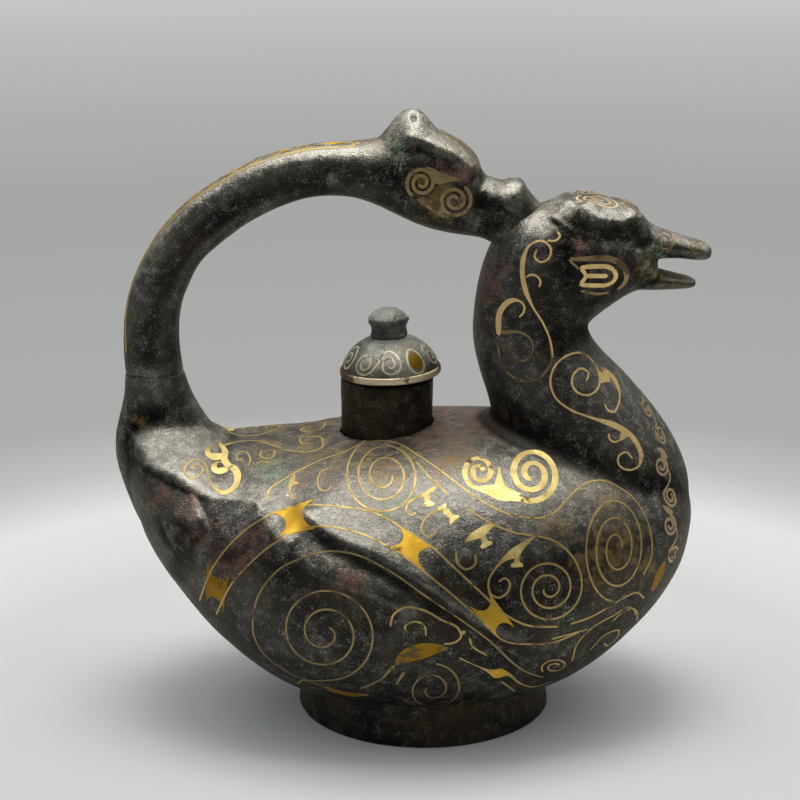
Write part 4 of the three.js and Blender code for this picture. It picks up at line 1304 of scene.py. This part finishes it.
class TurnFoot(bpy.types.Operator):
    """Turn the ring foot and finish the plug in the base"""

    bl_idname = "duck_pot.turn_foot"
    bl_label = "Turn the foot"

    def execute(self, context):
        foot = turned("foot", FOOT, FOOT_X, 96)
        round_edges(foot, 0.4, 40)
        split_faces(foot, 1)
        level = points_of(foot)[:, 2]
        lumps(foot, 18, 0.7)
        points = points_of(foot)
        points[:, 2] = np.where(level < 1, level, points[:, 2])
        set_points(foot, points)
        smooth_shade(foot)
        hand_over(foot, "collar bronze", "bronze", "pot", "foot_ring")
        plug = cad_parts["base_plug"]
        plug.data.materials.clear()
        plug.data.materials.append(finished("collar bronze"))
        return DONE


class TurnCollar(bpy.types.Operator):
    """Turn the filler collar"""

    bl_idname = "duck_pot.turn_collar"
    bl_label = "Turn the collar"

    def execute(self, context):
        collar = turned("collar", COLLAR, FILLER_X, 72)
        split_faces(collar, 2)
        lumps(collar, 9, 0.5)
        smooth_shade(collar)
        hand_over(collar, "collar bronze", "bronze", "pot", "filler_collar")
        return DONE


def dome_line(growth, low, count):
    """(radius, z) points of the lid's dome from a height up to its top."""
    first = math.asin(low / (LID_RISE + growth))
    return [((LID_RADIUS + growth) * math.cos(t), (LID_RISE + growth) * math.sin(t))
            for t in np.linspace(first, math.pi / 2, count)]


def lid_places(obj):
    """Each vertex's distance from the lid's axis and its angle, 90 degrees towards the head."""
    x, y = points_of(obj)[:, :2].T
    return np.hypot(x, y), np.degrees(np.arctan2(x, np.abs(y)))


class TurnLid(bpy.types.Operator):
    """Turn the lid's dome, sleeve, knob and gold rim"""

    bl_idname = "duck_pot.turn_lid"
    bl_label = "Turn the lid"
    GOLD_LINE = 0.75

    def execute(self, context):
        dome = self.dome()
        gold = inlay("lid_gold", Seen(dome, from_round), LID_GOLD, self.GOLD_LINE)
        field = inlay("lid_field", Seen(dome, from_round), LID_FIELD, self.GOLD_LINE)
        rim = turned("lid_rim", LID_RIM, 0, 96)
        lumps(rim, 4, 0.25)
        # Painted shade: the rim's ends towards the tail and the head take the dark tarnish tone, the rest its
        # tan
        _, turn = lid_places(rim)
        mask(rim, "field", ramp(turn, -60, 18) * ramp(turn, 78, -18))
        sleeve = turned("lid_tube", LID_SLEEVE, 0, 56)
        round_edges(sleeve, 0.3, 40)
        knob = turned("knob", KNOB, 0, 9, False)
        round_edges(knob, 0.5, 20)
        split_faces(knob, 2)
        lumps(knob, 4, 0.6)
        # Painted sheen on the knob's top
        note_tops(knob)
        for piece, nodes, finish, slot in (
            (dome, ["lid_dome"], "knob bronze", "bronze"),
            (gold, [], "tan gold", "gold"),
            (field, [], "old gold", "gold"),
            (rim, ["lid_band"], "rim gold with painted shade", "gold"),
            (sleeve, ["lid_sleeve"], "collar bronze", "bronze"),
            (knob, ["lid_knob"], "knob bronze", "bronze"),
        ):
            self.set_in_place(piece)
            smooth_shade(piece)
            hand_over(piece, finish, slot, "lid", *nodes)
        return DONE

    def dome(self):
        """The dome, rough and open below, with its masks."""
        outline = dome_line(-2.6, 0.02, 14)[::-1] + LID_EDGE + dome_line(-0.35, 3.6, 16)
        dome = turned("lid_shell", outline, 0, 72, False)
        lumps(dome, 9, 0.35)
        away, turn = lid_places(dome)
        mask(dome, "green", bell(away, 9, 2.2))
        mask(dome, "olive", bell(turn, 40, 20))
        # Painted shade: the dome's side towards the tail is darkened through a low worn value
        mask(dome, "worn", -0.5 * ramp(turn, -25, -30))
        # Painted sheen on the dome's top
        note_tops(dome)
        return dome

    def set_in_place(self, piece):
        """Tilts a piece, made about its own axis, and sets it on the collar."""
        piece.location = [v * MM for v in LID_PLACE]
        piece.rotation_euler = (0, math.radians(LID_TILT), 0)
        take(piece)
        bpy.ops.object.transform_apply(location=True, rotation=True, scale=False)


class InlayBody(bpy.types.Operator):
    """Let the gold scrolls into the body, neck and head"""

    bl_idname = "duck_pot.inlay_body"
    bl_label = "Inlay the body"

    def execute(self, context):
        width = context.scene.duck_pot.gold_line / MM
        host = bpy.data.objects["duck_body"]
        for side, sign in SIDES:
            flank = Seen(host, from_side(sign))
            for name, seen, paths, finish, nodes in (
                ("low_gold", flank, LOW_GOLD, "old gold", ["wing_spiral", "flank_leaf", "wing_bone_1"]),
                ("wing_gold", flank, WING_GOLD, "worn gold", ["wing_bone_2", "wing_bone_3", "wing_bone_4"]),
                ("back_gold", flank, BACK_GOLD, "gold with painted highlight", ["cloud_scroll"]),
                ("tail_gold", flank, TAIL_GOLD, "gold with painted highlight", ["tail_scroll"]),
                ("neck_gold", flank, NECK_GOLD, "gold with painted light", ["neck_scroll_upper", "neck_scroll_lower"]),
                ("neck_loop_gold", flank, NECK_LOOP_GOLD, "dull gold", []),
                ("eye_gold", flank, EYE_GOLD, "gold with painted light", ["eye_loop", "eye_bar"]),
                ("eye_rim_gold", flank, EYE_RIM_GOLD, "dull gold", []),
                ("bill_gold", flank, BILL_GOLD, "dull gold", []),
                ("crown_gold", Seen(host, from_above(sign)), CROWN_GOLD, "buff gold", []),
                ("chest_gold", Seen(host, from_corner(sign)), CHEST_GOLD, "buff gold", []),
            ):
                gold = inlay(f"{name}_{side}", seen, paths, width)
                hand_over(gold, finish, "gold", "pot", *[f"{node}_{side}" for node in nodes])
        return DONE


class InlayBail(bpy.types.Operator):
    """Let the gold into the beast's cheeks and the bail's outer face"""

    bl_idname = "duck_pot.inlay_bail"
    bl_label = "Inlay the bail"
    STRIP_LINE = 1.4

    def execute(self, context):
        width = context.scene.duck_pot.gold_line / MM
        host = bpy.data.objects["bail_arm"]
        for side, sign in SIDES:
            gold = inlay(f"beast_gold_{side}", Seen(host, from_side(sign)), BEAST_GOLD, width)
            hand_over(gold, "dull gold", "gold", "pot", f"beast_scroll_{side}")
        strip = inlay("bail_gold", Seen(host, from_outside()), BAIL_GOLD, self.STRIP_LINE)
        hand_over(strip, "worn gold", "gold", "pot")
        return DONE


class SetStage(bpy.types.Operator):
    """Set up the pale floor, the overhead light and the camera"""

    bl_idname = "duck_pot.set_stage"
    bl_label = "Set the stage"
    FLOOR_RADIUS = 9
    # The floor's greys by metres from its middle. They hold painted light: lighter round the pot, which
    # lightens its shadow, then a bright strip and a falloff that stand in for light on a backdrop.
    REACH = 4.0
    PAINTED_LIGHT_GREYS = (
        (0.0, 0.74), (0.1, 0.68), (0.15, 0.63), (0.2, 0.6), (0.3, 0.76), (0.37, 0.54), (0.46, 0.42),
        (1.2, 0.38), (4.0, 0.63),
    )
    # name, size, place
    LAMPS = (("overhead", 0.55, (0, 0, 1.15)), ("panel", 1.7, (0.05, 0.3, 1.2)))
    LAMP_TONE = (1, 0.975, 0.925)
    CAMERA_PLACE = (-0.003916, -0.893, 0.392)
    CAMERA_DIP = 0.278
    CAMERA_LENS = 97.5

    def execute(self, context):
        look = context.scene.duck_pot
        put_down()
        bpy.ops.mesh.primitive_circle_add(vertices=128, radius=self.FLOOR_RADIUS, fill_type="NGON")
        floor = context.object
        floor.name = "floor"
        floor.data.materials.append(self.paper())
        for (name, size, place), watts in zip(self.LAMPS, (look.lamp, look.panel)):
            lamp = bpy.data.lights.new(name, "AREA")
            lamp.size = size
            lamp.color = self.LAMP_TONE
            lamp.energy = watts
            holder = bpy.data.objects.new(name, lamp)
            holder.location = place
            context.scene.collection.objects.link(holder)
        self.air(context)
        camera = bpy.data.objects.new("camera", bpy.data.cameras.new("camera"))
        camera.location = self.CAMERA_PLACE
        camera.rotation_euler = (math.pi / 2 - self.CAMERA_DIP, 0, 0)
        camera.data.lens = self.CAMERA_LENS
        camera.data.sensor_width = 36
        camera.data.clip_start = 0.01
        context.scene.collection.objects.link(camera)
        context.scene.camera = camera
        context.scene.view_settings.view_transform = "Standard"
        return DONE

    def paper(self):
        """Pale paper with painted light in its greys, lighter round the pot and falling off to grey away from
        it.
        """
        material, tree, shader = new_material("pale paper")
        tree.nodes.remove(shader)
        away = add(tree, "VectorMath", {0: object_place(tree)}, operation="LENGTH").outputs["Value"]
        greys = add(tree, "ValToRGB", {"Fac": sum_of(tree, away, self.REACH, "DIVIDE")})
        stops = greys.color_ramp.elements
        while len(stops) < len(self.PAINTED_LIGHT_GREYS):
            stops.new(0.5)
        for stop, (place, grey) in zip(stops, self.PAINTED_LIGHT_GREYS):
            stop.position = place / self.REACH
            stop.color = (grey, grey, grey * 0.985, 1)
        tone = {"Color": greys.outputs["Color"]}
        rays = add(tree, "LightPath").outputs
        seen = sum_of(tree, rays["Is Camera Ray"], rays["Is Glossy Ray"], "MAXIMUM")
        far = times(tree, spread(tree, away, 0.2, 0.34), seen)
        self.show(tree, "Material Output", far, add(tree, "BsdfDiffuse", tone), add(tree, "Emission", tone))
        return material

    def air(self, context):
        """A dim room whose far wall is grey to the camera."""
        world = bpy.data.worlds.new("room")
        context.scene.world = world
        world.use_nodes = True
        tree = world.node_tree
        rays = add(tree, "LightPath").outputs
        dim = fill(tree, tree.nodes["Background"], {"Color": (0.9, 0.95, 1, 1), "Strength": 0.54})
        wall = add(tree, "Background", {"Color": (0.4, 0.4, 0.395, 1)})
        toward = add(tree, "SeparateXYZ", {0: add(tree, "TexCoord").outputs["Generated"]}).outputs
        behind = spread(tree, toward["Y"], -0.5, 0.35, 0.06, 1)
        above = spread(tree, toward["Z"], 0.4, 0.82, 0.3, 1.35)
        shine = add(tree, "Background", {"Strength": times(tree, behind, above)})
        lit = self.mix(tree, rays["Is Glossy Ray"], dim, shine)
        self.show(tree, "World Output", rays["Is Camera Ray"], lit, wall)

    def mix(self, tree, share, a, b):
        return add(tree, "MixShader", {"Fac": share, 1: a.outputs[0], 2: b.outputs[0]})

    def show(self, tree, output, share, a, b):
        """Gives a tree's output a mix of two shaders."""
        fill(tree, tree.nodes[output], {"Surface": self.mix(tree, share, a, b).outputs[0]})


STEPS = (CastBody, CastBail, TurnFoot, TurnCollar, TurnLid, InlayBody, InlayBail, SetStage)


class DuckPotPanel(bpy.types.Panel):
    """Steps that make the duck pot, in order"""

    bl_idname = "VIEW3D_PT_duck_pot"
    bl_label = "Duck pot"
    bl_space_type = "VIEW_3D"
    bl_region_type = "UI"
    bl_category = "Duck pot"

    def draw(self, context):
        look = context.scene.duck_pot
        for name in look.bl_rna.properties.keys():
            if name not in ("rna_type", "name"):
                self.layout.prop(look, name)
        for step in STEPS:
            self.layout.operator(step.bl_idname)


CLASSES = (DuckPotSettings, *STEPS, DuckPotPanel)


def register():
    for cls in CLASSES:
        bpy.utils.register_class(cls)
    bpy.types.Scene.duck_pot = bpy.props.PointerProperty(type=DuckPotSettings)


def unregister():
    del bpy.types.Scene.duck_pot
    for cls in reversed(CLASSES):
        bpy.utils.unregister_class(cls)


def main():
    register()
    bpy.ops.duck_pot.cast_body()
    bpy.ops.duck_pot.cast_bail()
    bpy.ops.duck_pot.turn_foot()
    bpy.ops.duck_pot.turn_collar()
    bpy.ops.duck_pot.turn_lid()
    bpy.ops.duck_pot.inlay_body()
    bpy.ops.duck_pot.inlay_bail()
    bpy.ops.duck_pot.set_stage()


if __name__ == "__main__":
    main()
